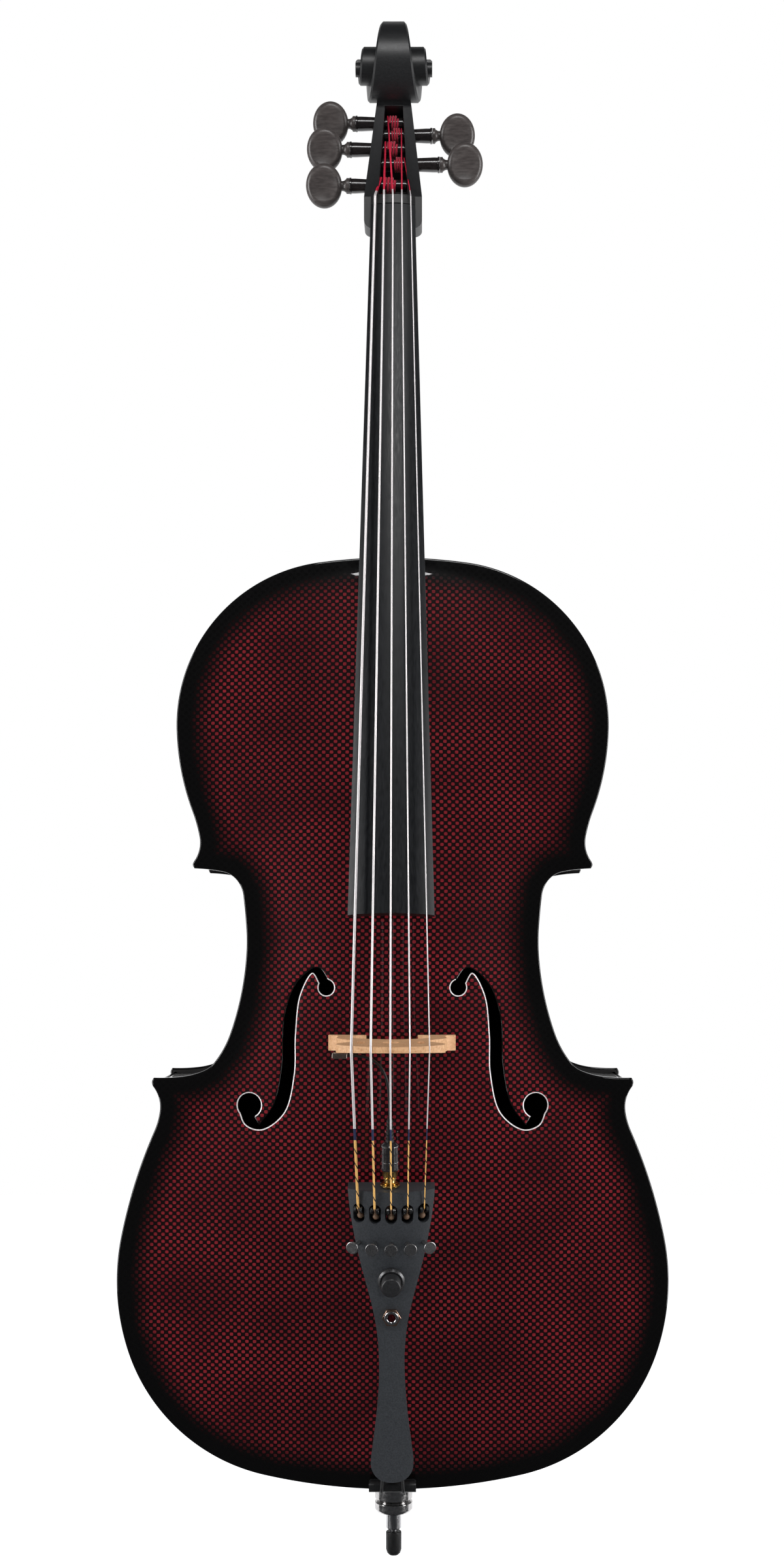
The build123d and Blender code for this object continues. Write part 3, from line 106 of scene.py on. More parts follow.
def between(tree, value, dark, light, start=0.3, end=0.7):
    """A colour that goes from dark to light as value goes from start to end."""
    ramp = add_node(tree, "ShaderNodeValToRGB", {"Fac": value})
    ramp.color_ramp.elements[0].position = start
    ramp.color_ramp.elements[0].color = (*dark, 1)
    ramp.color_ramp.elements[1].position = end
    ramp.color_ramp.elements[1].color = (*light, 1)
    return ramp.outputs[0]


def roughen(tree, shader, value, low, high):
    """Roughness that follows value between low and high."""
    spread = add_node(tree, "ShaderNodeMapRange", {"Value": value, "From Min": 0.25, "From Max": 0.75, "To Min": low, "To Max": high})
    tree.links.new(spread.outputs[0], shader.inputs["Roughness"])


def emboss(tree, shader, value, depth, strength=1.0):
    """Bump of that depth in metres from value."""
    bump = add_node(tree, "ShaderNodeBump", {"Height": value, "Distance": depth, "Strength": strength})
    tree.links.new(bump.outputs[0], shader.inputs["Normal"])


def plain_finish(name, dark, light, grain, rough, depth=0.00002, stretch=(1, 1, 1), **surface):
    """A finish of one colour family: mottled from dark to light at that grain, with its roughness and a light bump."""
    finish, tree, shader = new_finish(name, **surface)
    noise = speckle(tree, grain, stretch=stretch).outputs[0]
    tree.links.new(between(tree, noise, dark, light), shader.inputs["Base Color"])
    roughen(tree, shader, noise, *rough)
    emboss(tree, shader, noise, depth)
    return finish


lead_jacket = plain_finish("lead_jacket", (0.006, 0.006, 0.007), (0.014, 0.014, 0.015), 0.0006, (0.35, 0.5))
lead_line = bpy.data.curves.new("pickup_lead_cord", "CURVE")
lead_line.dimensions = "3D"
lead_line.bevel_depth = 1.05 * MM
lead_line.bevel_resolution = 4
lead_line.resolution_u = 24
lead_route = [
    (-33.4, -122.5, -670.415), (-21.5, -122.5, -670.415), (-10.8, -123.1, -675.215),
    (-3.6, -121.5, -685.415), (-1.0, -116.704, -702.7782), (-1.0, -113.62, -717.4578),
]
spline = lead_line.splines.new("NURBS")
spline.points.add(len(lead_route) - 1)
for point, (x, y, z) in zip(spline.points, lead_route):
    point.co = (x * MM, y * MM, z * MM, 1)
spline.order_u = 3
spline.use_endpoint_u = True
pickup_cord = bpy.data.objects.new("pickup_lead_cord", lead_line)
bpy.context.collection.objects.link(pickup_cord)
lead_line.materials.append(lead_jacket)
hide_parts("pickup_lead")
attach(pickup_cord, "body")

# Plug and boot of the lead: a gold barrel, a black body with bright rings and a ribbed rubber boot,
# all turned parts on one axis that runs into the end of the tailpiece.


def turned_piece(name, origin, axis, profile, finishes, sides=56):
    """A turned solid: profile is (distance along axis, radius, finish index) in mm. One that starts off
    the axis is bored, and its last ring joins its first."""
    origin, axis = Vector(origin) * MM, Vector(axis).normalized()
    side = axis.orthogonal().normalized()
    up = axis.cross(side)
    mesh = bmesh.new()
    rings = []
    for along, radius, _ in profile:
        if radius <= 0:
            rings.append([mesh.verts.new(origin + axis * along * MM)])
            continue
        ring = []
        for step in range(sides):
            angle = 2 * math.pi * step / sides
            reach = (side * math.cos(angle) + up * math.sin(angle)) * radius * MM
            ring.append(mesh.verts.new(origin + axis * along * MM + reach))
        rings.append(ring)
    if len(rings[0]) > 1:
        rings.append(rings[0])
    for (near, far), (_, _, finish) in zip(zip(rings, rings[1:]), profile):
        for step in range(sides):
            after = (step + 1) % sides
            corners = [near[step % len(near)], near[after % len(near)], far[after % len(far)], far[step % len(far)]]
            corners = list(dict.fromkeys(corners))
            face = mesh.faces.new(corners)
            face.material_index = finish
    return finished_piece(name, mesh, finishes)


def finished_piece(name, mesh, finishes, angle=32):
    """Turns built mesh data into an object, with smooth faces and sharp edges above the angle."""
    bmesh.ops.recalc_face_normals(mesh, faces=mesh.faces)
    for face in mesh.faces:
        face.smooth = True
    for edge in mesh.edges:
        edge.smooth = len(edge.link_faces) != 2 or edge.calc_face_angle() < math.radians(angle)
    data = bpy.data.meshes.new(name)
    mesh.to_mesh(data)
    mesh.free()
    for finish in finishes:
        data.materials.append(finish)
    piece = bpy.data.objects.new(name, data)
    bpy.context.collection.objects.link(piece)
    return piece


def place(piece, body, slot, *nodes):
    """The piece stands for these solids and moves with their body. The argument slot is not used."""
    if nodes:
        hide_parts(*nodes)
    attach(piece, body)
    return piece


def cad_copy(node, finish, body, slot, edge=0.0, segments=2, angle=32, name=None):
    """A finer copy of a solid: flat faces merged, edges rounded to that radius in mm, faces smooth."""
    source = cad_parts[node]
    mesh = bmesh.new()
    corners = [mesh.verts.new(vertex.co) for vertex in source.data.vertices]
    for polygon in source.data.polygons:
        try:
            mesh.faces.new([corners[index] for index in polygon.vertices])
        except ValueError:
            pass
    bmesh.ops.remove_doubles(mesh, verts=mesh.verts, dist=0.000004)
    bmesh.ops.dissolve_limit(mesh, angle_limit=math.radians(0.6), verts=mesh.verts, edges=mesh.edges)
    piece = finished_piece(name or node + "_piece", mesh, [finish], angle)
    if edge:
        rounding = piece.modifiers.new("edge_rounding", "BEVEL")
        rounding.width = edge * MM
        rounding.segments = segments
        rounding.limit_method = "ANGLE"
        rounding.angle_limit = math.radians(angle)
        rounding.harden_normals = False
        rounding.use_clamp_overlap = True
    return place(piece, body, slot, node)


gold = plain_finish(
    "gold_plate", (0.62, 0.40, 0.12), (0.78, 0.55, 0.22), 0.002, (0.16, 0.28), depth=0.000004, metal=1.0)
bright_steel = plain_finish(
    "bright_steel", (0.48, 0.48, 0.49), (0.62, 0.62, 0.63), 0.003, (0.16, 0.3), depth=0.000004, metal=1.0)
plug_black = plain_finish("plug_black", (0.008, 0.008, 0.009), (0.02, 0.02, 0.022), 0.0012, (0.16, 0.28), depth=0.000004, coat=0.5)
boot_rubber = plain_finish("boot_rubber", (0.007, 0.007, 0.007), (0.014, 0.014, 0.014), 0.0008, (0.3, 0.45))
tail_up = Vector((0.0, -0.2056, 0.9786))
tail_out = Vector((0.0, -0.9786, -0.2056))
tail_top = Vector((0.0, -114.5, -776.5))
plug_axis = tail_top + Vector((-1, 0, 0)) - tail_out * 13.0
plug = turned_piece("lead_plug_body", plug_axis, tail_up, [
    (2.7, 0, 0), (2.7, 5.2, 0), (3.1, 5.7, 0), (4.2, 5.8, 0), (4.7, 4.7, 0), (6.2, 4.6, 0),
    (6.6, 5.1, 0), (7.6, 5.1, 0), (8.0, 4.8, 0), (9.2, 5.8, 0), (13.6, 6.2, 0), (14.2, 6.6, 2), (14.6, 6.95, 2),
    (15.4, 7.0, 2), (15.8, 6.7, 2), (20.5, 6.6, 2), (20.8, 6.85, 1), (21.3, 6.85, 2), (21.6, 6.6, 2), (27, 6.5, 2),
    (27.3, 6.8, 2), (27.8, 6.8, 2), (28.1, 6.5, 2), (33.2, 6.4, 2), (33.5, 6.9, 1), (34.2, 6.9, 2), (35.0, 6.3, 2),
    (36.6, 4.6, 2), (36.8, 0, 2),
], [gold, bright_steel, plug_black])
place(plug, "body", "gold", "lead_plug")
prong = turned_piece("lead_plug_prong", plug_axis, tail_up, [
    (-8, 0, 0), (-8, 1.6, 0), (-7.2, 2.3, 0), (2.6, 2.3, 0), (2.6, 0, 0)], [gold])
place(prong, "body", "gold")
boot_rings = [(36.95, 0, 0), (36.95, 3.4, 0)]
for ring in range(6):
    start = 38.0 + ring * 2.95
    thick = 3.3 - 0.15 * ring
    boot_rings += [(start, thick, 0), (start + 1.5, thick, 0), (start + 1.8, thick - 0.7, 0), (start + 2.8, thick - 0.7, 0)]
boot_rings += [(56.6, 2.3, 0), (57.3, 1.5, 0), (57.4, 0, 0)]
boot = turned_piece("lead_boot_sleeve", plug_axis, tail_up, boot_rings, [boot_rubber], sides=40)
place(boot, "body", "black_rubber", "lead_boot")
socket = turned_piece("input_socket_flange", plug_axis, tail_up, [
    (-9, 2.45, 0), (-9, 5.2, 0), (1.55, 5.2, 0), (1.55, 7.6, 0), (1.8, 7.8, 0), (2.4, 7.8, 0), (2.85, 7.3, 0),
    (2.85, 6.4, 0), (2.6, 6.2, 0), (2.6, 4.9, 0), (2.6, 2.45, 0),
], [gold])
place(socket, "body", "gold", "input_socket")

# Body plates: arched shells of woven composite, moulded whole, with a gloss black edge that fades in
# from the rim over a red and black plain weave, all under one thick clear coat.
BODY_TOP, BODY_LENGTH, EDGE_PLANE = -272.0, 755.0, -40.5
BODY_END = BODY_TOP - BODY_LENGTH
PLATE_EDGE, PLATE_WALL, BODY_DEPTH = 4.5, 3.6, 118.0
UPPER, WAIST, LOWER = 350.2 / 2, 237.2 / 2, 447.0 / 2
upper_run = [(0.342, 0.0054), (0.640, 0.0302), (1.0, 0.1837), (0.926, 0.2732), (0.894, 0.2997), (0.9194, 0.3262)]
waist_run = [
    (1.1636, 0.3372), (1.0582, 0.3477), (1.0202, 0.3629), (1.0, 0.3974), (1.0, 0.4265),
    (1.1096, 0.5109), (1.2277, 0.5438), (1.2816, 0.5503), (1.4334, 0.5570), (1.6315, 0.5583),
]
lower_run = [(0.467, 0.9845), (0.9606, 0.8511), (0.985, 0.7294), (0.864, 0.6154), (0.8443, 0.5947), (0.8694, 0.5675)]


def tangent_arcs(start, heading, ends, spacing=2.5):
    """Points along arcs that each leave in the direction in which the last one ended."""
    at, along = complex(*start), complex(*heading)
    along /= abs(along)
    points = [at]
    for end in ends:
        chord = complex(*end) - at
        half_turn = cmath.phase(chord / along)
        steps = max(2, round(abs(chord) / spacing))
        for step in range(1, steps + 1):
            share = half_turn * step / steps
            reach = math.sin(share) / math.sin(half_turn) if abs(half_turn) > 1e-6 else step / steps
            points.append(at + along * abs(chord) * reach * cmath.exp(1j * share))
        at = complex(*end)
        along *= cmath.exp(2j * half_turn)
    return points


def on_body(half_width, points):
    return [(half_width * x, BODY_TOP - BODY_LENGTH * z) for x, z in points]


upper_arcs = tangent_arcs((0, BODY_TOP), (1, 0), on_body(UPPER, upper_run))
waist_arcs = tangent_arcs(*on_body(WAIST, [(1.3533, 0.3339)]), (-1, -0.03), on_body(WAIST, waist_run))
lower_arcs = tangent_arcs((0, BODY_END), (1, 0), on_body(LOWER, lower_run))


def blunt_tip(start, end, rise=1.2, steps=6):
    """The slightly rounded end of a corner."""
    across = end - start
    outward = 1j * across / abs(across)
    return [start + across * t / steps + outward * rise * math.sin(math.pi * t / steps) for t in range(1, steps)]


right_side = upper_arcs + blunt_tip(upper_arcs[-1], waist_arcs[0]) + waist_arcs
right_side += blunt_tip(waist_arcs[-1], lower_arcs[-1]) + lower_arcs[::-1]
outline = right_side + [complex(-point.real, point.imag) for point in right_side[-2:0:-1]]
outline = np.array([(point.real, point.imag) for point in outline])
area = np.sum(outline[:, 0] * np.roll(outline[:, 1], -1) - np.roll(outline[:, 0], -1) * outline[:, 1])
if area < 0:
    outline = outline[::-1]


def inset(loop, distance):
    """The loop moved inwards, each point along the mean of its two edges' normals."""
    edges = np.roll(loop, -1, axis=0) - loop
    normals = np.stack([-edges[:, 1], edges[:, 0]], axis=1)
    normals /= np.linalg.norm(normals, axis=1)[:, None]
    mean = normals + np.roll(normals, 1, axis=0)
    mean /= np.maximum(np.sum(mean * mean, axis=1) / 2, 0.9)[:, None]
    return loop + mean * distance


def arch_width(drop):
    """Half width of the arched field at this distance below the body's top edge."""
    upper, waist, lower = UPPER - 9.0, WAIST - 9.0, LOWER - 9.0
    upper_at, waist_at, lower_at = BODY_LENGTH * 0.18, BODY_LENGTH * 0.412, BODY_LENGTH * 0.776
    start, end = 9.0, BODY_LENGTH - 9.0
    if drop <= start or drop >= end:
        return 0.0
    if drop < upper_at:
        return upper * (1 - ((upper_at - drop) / (upper_at - start)) ** 2.35) ** (1 / 2.35)
    if drop > lower_at:
        return lower * (1 - ((drop - lower_at) / (end - lower_at)) ** 2.4) ** (1 / 2.4)
    if drop < waist_at:
        return upper + (waist - upper) * (1 - math.cos(math.pi * (drop - upper_at) / (waist_at - upper_at))) / 2
    return waist + (lower - waist) * (1 - math.cos(math.pi * (drop - waist_at) / (lower_at - waist_at))) / 2


def arching(x, z):
    """Share of the full arch height at a point of the body."""
    drop = BODY_TOP - z
    along = abs(drop / (BODY_LENGTH / 2) - 1)
    width = arch_width(drop)
    if along >= 1 or abs(x) >= width:
        return 0.0
    return (1 - along**2.6) ** 1.15 * (1 - (abs(x) / width) ** 2.2) ** 1.7


def smooth_curve(points, spacing=1.2):
    """Points along a smooth curve through the given ones, spaced by their distance apart."""
    points = np.array(points, float)
    knots = np.concatenate([[0], np.cumsum(np.linalg.norm(np.diff(points, axis=0), axis=1) ** 0.5)])
    slopes = np.empty_like(points)
    slopes[1:-1] = (points[2:] - points[:-2]) / (knots[2:] - knots[:-2])[:, None]
    slopes[0] = (points[1] - points[0]) / (knots[1] - knots[0])
    slopes[-1] = (points[-1] - points[-2]) / (knots[-1] - knots[-2])
    for index in (1, 2):
        before, after = knots[1:-1] - knots[:-2], knots[2:] - knots[1:-1]
        left = (points[1:-1] - points[:-2]) / before[:, None]
        right = (points[2:] - points[1:-1]) / after[:, None]
        slopes[1:-1] = (left * after[:, None] + right * before[:, None]) / (before + after)[:, None]
    out = [points[0]]
    for index in range(len(points) - 1):
        span = knots[index + 1] - knots[index]
        steps = max(3, round(np.linalg.norm(points[index + 1] - points[index]) / spacing))
        for step in range(1, steps + 1):
            t = step / steps
            a, b = 2 * t**3 - 3 * t**2 + 1, t**3 - 2 * t**2 + t
            c, d = 3 * t**2 - 2 * t**3, t**3 - t**2
            out.append(a * points[index] + b * span * slopes[index] + c * points[index + 1] + d * span * slopes[index + 1])
    return np.array(out)


def circle_points(center, radius, start, end, spacing=1.2):
    """Points of an arc about center, from the angle start to the angle end."""
    steps = max(6, round(abs(end - start) * radius / spacing))
    angles = np.linspace(start, end, steps + 1)
    return np.stack([center[0] + radius * np.cos(angles), center[1] + radius * np.sin(angles)], axis=1)


def f_hole():
    """The right f-hole as one loop: the stem's two edges, each run into the round eye at its end."""
    outer = smooth_curve([(50, -344), (60, -332.3), (76.4, -343.9), (86.6, -370.6), (88.7, -412), (95.1, -442), (107, -459)])
    inner = smooth_curve([
        (57, -347), (64, -336.2), (74.3, -353.5), (78.3, -385.5), (79.1, -417.5), (87.1, -448.5), (105.2, -462),
        (118, -458.5), (123.4, -447),
    ])
    upper_eye, upper_radius = np.array((52.8, -348.0)), 6.3
    lower_eye, lower_radius = np.array((115.3, -443.0)), 9.6
    wing_tip = np.array((111.6, -452.0))
    outer = outer[np.linalg.norm(outer - upper_eye, axis=1) > upper_radius]
    inner = inner[np.linalg.norm(inner - upper_eye, axis=1) > upper_radius]
    inner = inner[np.linalg.norm(inner - lower_eye, axis=1) > lower_radius]
    angle = lambda point, eye: math.atan2(point[1] - eye[1], point[0] - eye[0])

    def round_eye(eye, radius, leaving, arriving):
        """The long way round an eye, from one edge of the stem to the other."""
        start, end = angle(leaving, eye), angle(arriving, eye)
        turn = (end - start) % (2 * math.pi)
        turn = turn if turn > math.pi else turn - 2 * math.pi
        return circle_points(eye, radius, start, start + turn)[1:-1]

    loop = [outer[::-1], round_eye(upper_eye, upper_radius, outer[0], inner[0])]
    loop += [inner, round_eye(lower_eye, lower_radius, inner[-1], wing_tip), wing_tip[None]]
    # Painted highlight: the centre-facing edge and both eyes are marked lit, and their rounded edge is later coloured
    # pale.
    lit = np.concatenate([np.full(len(part), number in (1, 2, 3)) for number, part in enumerate(loop)])
    return np.concatenate(loop) + (0, BODY_TOP), lit


def widened(hole, distance):
    """A hole's loop moved out into the plate."""
    turn = np.sum(hole[:, 0] * np.roll(hole[:, 1], -1) - np.roll(hole[:, 0], -1) * hole[:, 1])
    return inset(hole, -distance if turn > 0 else distance)


def inside(points, loop):
    """Which points lie inside the loop."""
    count = np.zeros(len(points), int)
    x, y = points[:, 0], points[:, 1]
    for (x1, y1), (x2, y2) in zip(loop, np.roll(loop, -1, axis=0)):
        if y1 == y2:
            continue
        crossed = (y1 > y) != (y2 > y)
        count += crossed & (x < (x2 - x1) * (y - y1) / (y2 - y1) + x1)
    return count % 2 == 1


def distance_to(points, loop):
    """Distance of each point from the nearest point of the loop."""
    return np.array([np.min(np.hypot(loop[:, 0] - x, loop[:, 1] - y)) for x, y in points])


def arched_plate(name, loop, holes, highlit, height_out, height_in, outward, finishes, spacing=5.0):
    """A shell between two arched sheets with a rounded rim and bevelled holes; the rounded edge at the highlit hole
    points is coloured pale, a painted highlight. Heights are Y in mm. Each point keeps its distance from the outline as
    the attribute rim."""
    rounding = [(0.0, 1.5), (0.12, 0.9), (0.45, 0.4), (0.95, 0.1), (1.6, 0.0)]
    hole_rounding = [(0.0, 0.85), (0.15, 0.5), (0.45, 0.18), (0.95, 0.0)]
    flat_loop = inset(loop, rounding[-1][0])
    open_holes = [widened(hole, hole_rounding[-1][0]) for hole in holes]
    low, high = loop.min(0), loop.max(0)
    rows = np.arange(low[1] + 2, high[1], spacing * 0.88)
    grid = []
    for index, z in enumerate(rows):
        for x in np.arange(spacing / 4 * (1 if index % 2 else -1), high[0], spacing):
            grid += [(x, z), (-x, z)] if abs(x) > 0.01 else [(x, z)]
    grid = np.unique(np.round(np.array(grid), 4), axis=0)
    keep = inside(grid, flat_loop) & (distance_to(grid, flat_loop) > spacing * 0.45)
    for hole in holes:
        keep &= ~inside(grid, hole) & (distance_to(grid, hole) > 1.6)
    grid = grid[keep]
    rings = [flat_loop] + open_holes
    points, edges = [], []
    for ring in rings:
        first = len(points)
        points += [Vector(point) for point in ring]
        edges += [(first + i, first + (i + 1) % len(ring)) for i in range(len(ring))]
    points += [Vector(point) for point in grid]
    flat, _, faces, origins, _, _ = delaunay_2d_cdt(points, edges, [], 0, 1e-6)
    flat = np.array([(p.x, p.y) for p in flat])
    centres = np.array([flat[list(face)].mean(0) for face in faces])
    good = inside(centres, flat_loop)
    for hole in open_holes:
        good &= ~inside(centres, hole)
    faces = [face for face, kept in zip(faces, good) if kept]
    mesh = bmesh.new()
    rim = mesh.verts.layers.float.new("rim")
    rim_distance = distance_to(flat, loop)

    def corner(x, z, y, distance):
        vertex = mesh.verts.new((x * MM, y * MM, z * MM))
        vertex[rim] = distance
        return vertex

    used = sorted({index for face in faces for index in face})
    front = {i: corner(*flat[i], height_out(*flat[i]), rim_distance[i]) for i in used}
    rear = {i: corner(*flat[i], height_in(*flat[i]), rim_distance[i]) for i in used}
    for face in faces:
        mesh.faces.new([front[i] for i in face]).material_index = 0
        mesh.faces.new([rear[i] for i in reversed(face)]).material_index = 1
    order = {}
    for index, sources in enumerate(origins):
        for source in sources:
            order[source] = index
    start = 0
    for number, ring in enumerate(rings):
        ids = [order[start + i] for i in range(len(ring))]
        start += len(ring)
        if number:
            bands = [[front[i] for i in ids]]
            for inward, drop in hole_rounding[-2::-1]:
                bands.append([
                    corner(x, z, height_out(x, z) - outward * drop, 60.0)
                    for x, z in widened(holes[number - 1], inward)])
            bands.append([corner(x, z, height_in(x, z), 60.0) for x, z in holes[number - 1]])
            bands.append([rear[i] for i in ids])
            for level, (near, far) in enumerate(zip(bands, bands[1:])):
                for i in range(len(near)):
                    after = (i + 1) % len(near)
                    # Painted highlight: the rounded bands at the marked hole points take the pale material.
                    pale = level < len(hole_rounding) - 1 and highlit[number - 1][i]
                    mesh.faces.new([near[i], near[after], far[after], far[i]]).material_index = 3 if pale else 2
            continue
        bands = [[front[i] for i in ids]]
        for inward, drop in rounding[-2::-1]:
            ring_points = inset(loop, inward)
            bands.append([
                corner(x, z, height_out(x, z) - outward * drop, 0.0) for x, z in ring_points])
        for inward, drop in rounding[:-1]:
            ring_points = inset(loop, inward)
            bands.append([corner(x, z, height_in(x, z) + outward * drop * 0.7, 0.0) for x, z in ring_points])
        bands.append([rear[i] for i in ids])
        for near, far in zip(bands, bands[1:]):
            for i in range(len(near)):
                after = (i + 1) % len(near)
                mesh.faces.new([near[i], near[after], far[after], far[i]]).material_index = 0
    return finished_piece(name, mesh, finishes, angle=50)


def y_front(x, z):
    return EDGE_PLANE - 26.0 * arching(x, z)


def y_front_inner(x, z):
    return EDGE_PLANE + PLATE_EDGE - (26.0 + PLATE_EDGE - PLATE_WALL) * arching(x, z)


def y_back(x, z):
    return EDGE_PLANE + BODY_DEPTH + 24.0 * arching(x, z)


def y_back_inner(x, z):
    return EDGE_PLANE + BODY_DEPTH - PLATE_EDGE + (24.0 + PLATE_EDGE - PLATE_WALL) * arching(x, z)


def woven_finish(name, red_dark, red_light, black_gap, fade_start, fade_end):
    """Red and black plain weave under a clear coat. Tows of about 3 mm cross square to each other; the red
    ones lie on top in every other cell. The attribute rim fades it to black towards the edge."""
    finish, tree, shader = new_finish(name, coat=1.0, coat_rough=0.035, gloss=0.06)
    space = add_node(tree, "ShaderNodeTexCoord").outputs["Object"]
    drape = add_node(tree, "ShaderNodeTexNoise", {"Vector": space, "Scale": 7.0, "Detail": 1.0})
    shifted = add_node(tree, "ShaderNodeVectorMath", {0: drape.outputs["Color"], 1: (0.5, 0.5, 0.5)}, operation="SUBTRACT")
    pulled = add_node(tree, "ShaderNodeVectorMath", {0: shifted.outputs[0], 3: 0.0035}, operation="SCALE")
    laid = add_node(tree, "ShaderNodeVectorMath", {0: space, 1: pulled.outputs[0]}, operation="ADD")
    parts = add_node(tree, "ShaderNodeSeparateXYZ", {0: laid.outputs[0]})

    def wave(value, cell):
        turns = add_node(tree, "ShaderNodeMath", {0: value, 1: math.pi / (cell * MM)}, operation="MULTIPLY")
        return add_node(tree, "ShaderNodeMath", {0: turns.outputs[0]}, operation="SINE").outputs[0]

    across, up = wave(parts.outputs[0], 3.12), wave(parts.outputs[2], 2.85)
    cell = add_node(tree, "ShaderNodeMath", {0: across, 1: up}, operation="MULTIPLY").outputs[0]
    is_red = add_node(tree, "ShaderNodeMapRange", {"Value": cell, "From Min": 0.04, "From Max": 0.34},
                      interpolation_type="SMOOTHSTEP").outputs[0]
    tone = speckle(tree, 0.05, detail=1.0).outputs[0]
    fibre = speckle(tree, 0.0012, detail=1.0, stretch=(0.15, 1, 2.6)).outputs[0]
    red = between(tree, tone, red_dark, red_light, 0.3, 0.75)
    fibres = between(tree, fibre, (0.72, 0.72, 0.72), (1.2, 1.15, 1.15))
    red = add_node(tree, "ShaderNodeMix", {0: 1.0, 6: red, 7: fibres}, data_type="RGBA", blend_type="MULTIPLY").outputs[2]
    weave = add_node(tree, "ShaderNodeMix", {0: is_red, 6: (*black_gap, 1), 7: red}, data_type="RGBA").outputs[2]
    rim = add_node(tree, "ShaderNodeAttribute", attribute_name="rim").outputs["Fac"]
    cloud = speckle(tree, 0.02, detail=2.0).outputs[0]
    uneven = add_node(tree, "ShaderNodeMath", {0: cloud, 1: 6.0}, operation="MULTIPLY").outputs[0]
    depth = add_node(tree, "ShaderNodeMath", {0: rim, 1: uneven}, operation="SUBTRACT").outputs[0]
    shown = add_node(tree, "ShaderNodeMapRange", {"Value": depth, "From Min": fade_start, "From Max": fade_end},
                     interpolation_type="SMOOTHSTEP").outputs[0]
    colour = add_node(tree, "ShaderNodeMix", {0: shown, 6: (0.0012, 0.001, 0.001, 1), 7: weave}, data_type="RGBA").outputs[2]
    tree.links.new(colour, shader.inputs["Base Color"])
    rough = add_node(tree, "ShaderNodeMapRange", {"Value": is_red, "To Min": 0.42, "To Max": 0.3}).outputs[0]
    tree.links.new(rough, shader.inputs["Roughness"])
    relief = add_node(tree, "ShaderNodeMath", {0: is_red, 1: shown}, operation="MULTIPLY").outputs[0]
    emboss(tree, shader, relief, 0.00012, 0.5)
    return finish


edge_lacquer = plain_finish(
    "edge_lacquer", (0.0012, 0.001, 0.001), (0.003, 0.0025, 0.0025), 0.01, (0.2, 0.3), depth=0.000003,
    coat=1.0, coat_rough=0.03, gloss=0.08)
inner_skin = plain_finish("inner_skin", (0.004, 0.004, 0.004), (0.012, 0.01, 0.01), 0.004, (0.6, 0.8))
# Painted highlight: a pale coloured line on the rounded edge of the f-holes' centre-facing side, as if lit by the side
# lamps.
hole_painted_highlight = plain_finish("f_hole_painted_highlight", (0.62, 0.58, 0.58), (0.85, 0.8, 0.8), 0.002, (0.2, 0.35), coat=1.0)
top_weave = woven_finish("top_weave", (0.13, 0.008, 0.013), (0.25, 0.018, 0.026), (0.007, 0.0012, 0.0016), 7.0, 31.0)
right_hole, right_highlit = f_hole()
top = arched_plate(
    "top_shell", outline, [right_hole, right_hole[::-1] * (-1, 1)], [right_highlit, right_highlit[::-1]],
    y_front, y_front_inner, -1, [top_weave, inner_skin, edge_lacquer, hole_painted_highlight])
place(top, "body", "weave", "top_plate")
button_height, button_radius = BODY_TOP + 11.0 - 15.0, 15.0
button = circle_points((0, button_height), button_radius, math.radians(164), math.radians(16))[::1]
beside = outline[(np.abs(outline[:, 0]) > 14.9) | (outline[:, 1] < BODY_TOP - 60)]
first = int(np.argmin(np.hypot(beside[:, 0] + 14.9, beside[:, 1] - BODY_TOP)))
button = button if np.hypot(*(beside[first] - button[0])) < np.hypot(*(beside[first] - button[-1])) else button[::-1]
ahead = beside[(first + 1) % len(beside)]
at = first + 1 if abs(ahead[0] - 14.9) < 8 and ahead[1] > BODY_TOP - 5 else first
back_outline = np.concatenate([beside[:at], button, beside[at:]])
back = arched_plate(
    "back_shell", back_outline, [], [], y_back, y_back_inner, 1, [top_weave, inner_skin, edge_lacquer], spacing=6.0)
place(back, "body", "weave", "back_plate")

# Ribs: one bent wall of the same composite, lacquered black, set in from the plates' edges.
rib_loop, rib_inner = inset(outline, 4.0), inset(outline, 6.0)
rib_levels = np.linspace(EDGE_PLANE + PLATE_EDGE + 0.1, EDGE_PLANE + BODY_DEPTH - PLATE_EDGE - 0.1, 9)
mesh = bmesh.new()
wall = [[mesh.verts.new((x * MM, y * MM, z * MM)) for x, z in rib_loop] for y in rib_levels]
wall += [[mesh.verts.new((x * MM, y * MM, z * MM)) for x, z in rib_inner] for y in rib_levels[::-1]]
for near, far in zip(wall, wall[1:] + wall[:1]):
    for i in range(len(near)):
        after = (i + 1) % len(near)
        mesh.faces.new([near[i], near[after], far[after], far[i]])
rib_wall = finished_piece("rib_wall", mesh, [edge_lacquer], angle=40)
place(rib_wall, "body", "weave", "ribs")

# Inside the body: the blocks, the bass bar and the sound post, seen only through the f-holes.
spruce = plain_finish("spruce", (0.28, 0.17, 0.08), (0.42, 0.28, 0.14), 0.003, (0.5, 0.7), stretch=(1, 1, 0.05))
for node, slot, finish in [
    ("neck_block", "satin_black", inner_skin), ("end_block", "satin_black", inner_skin),
    ("bass_bar", "spruce", spruce), ("sound_post", "spruce", spruce),
]:
    cad_copy(node, finish, "body", slot)

# Neck, pegbox and scroll: one moulding of black composite with a fine satin skin.
satin_black = plain_finish(
    "satin_black", (0.006, 0.0062, 0.0068), (0.0115, 0.012, 0.013), 0.0009, (0.36, 0.48), depth=0.000012, gloss=0.7)
neck = cad_copy("neck", satin_black, "body", "satin_black", edge=0.8, segments=3, angle=28)
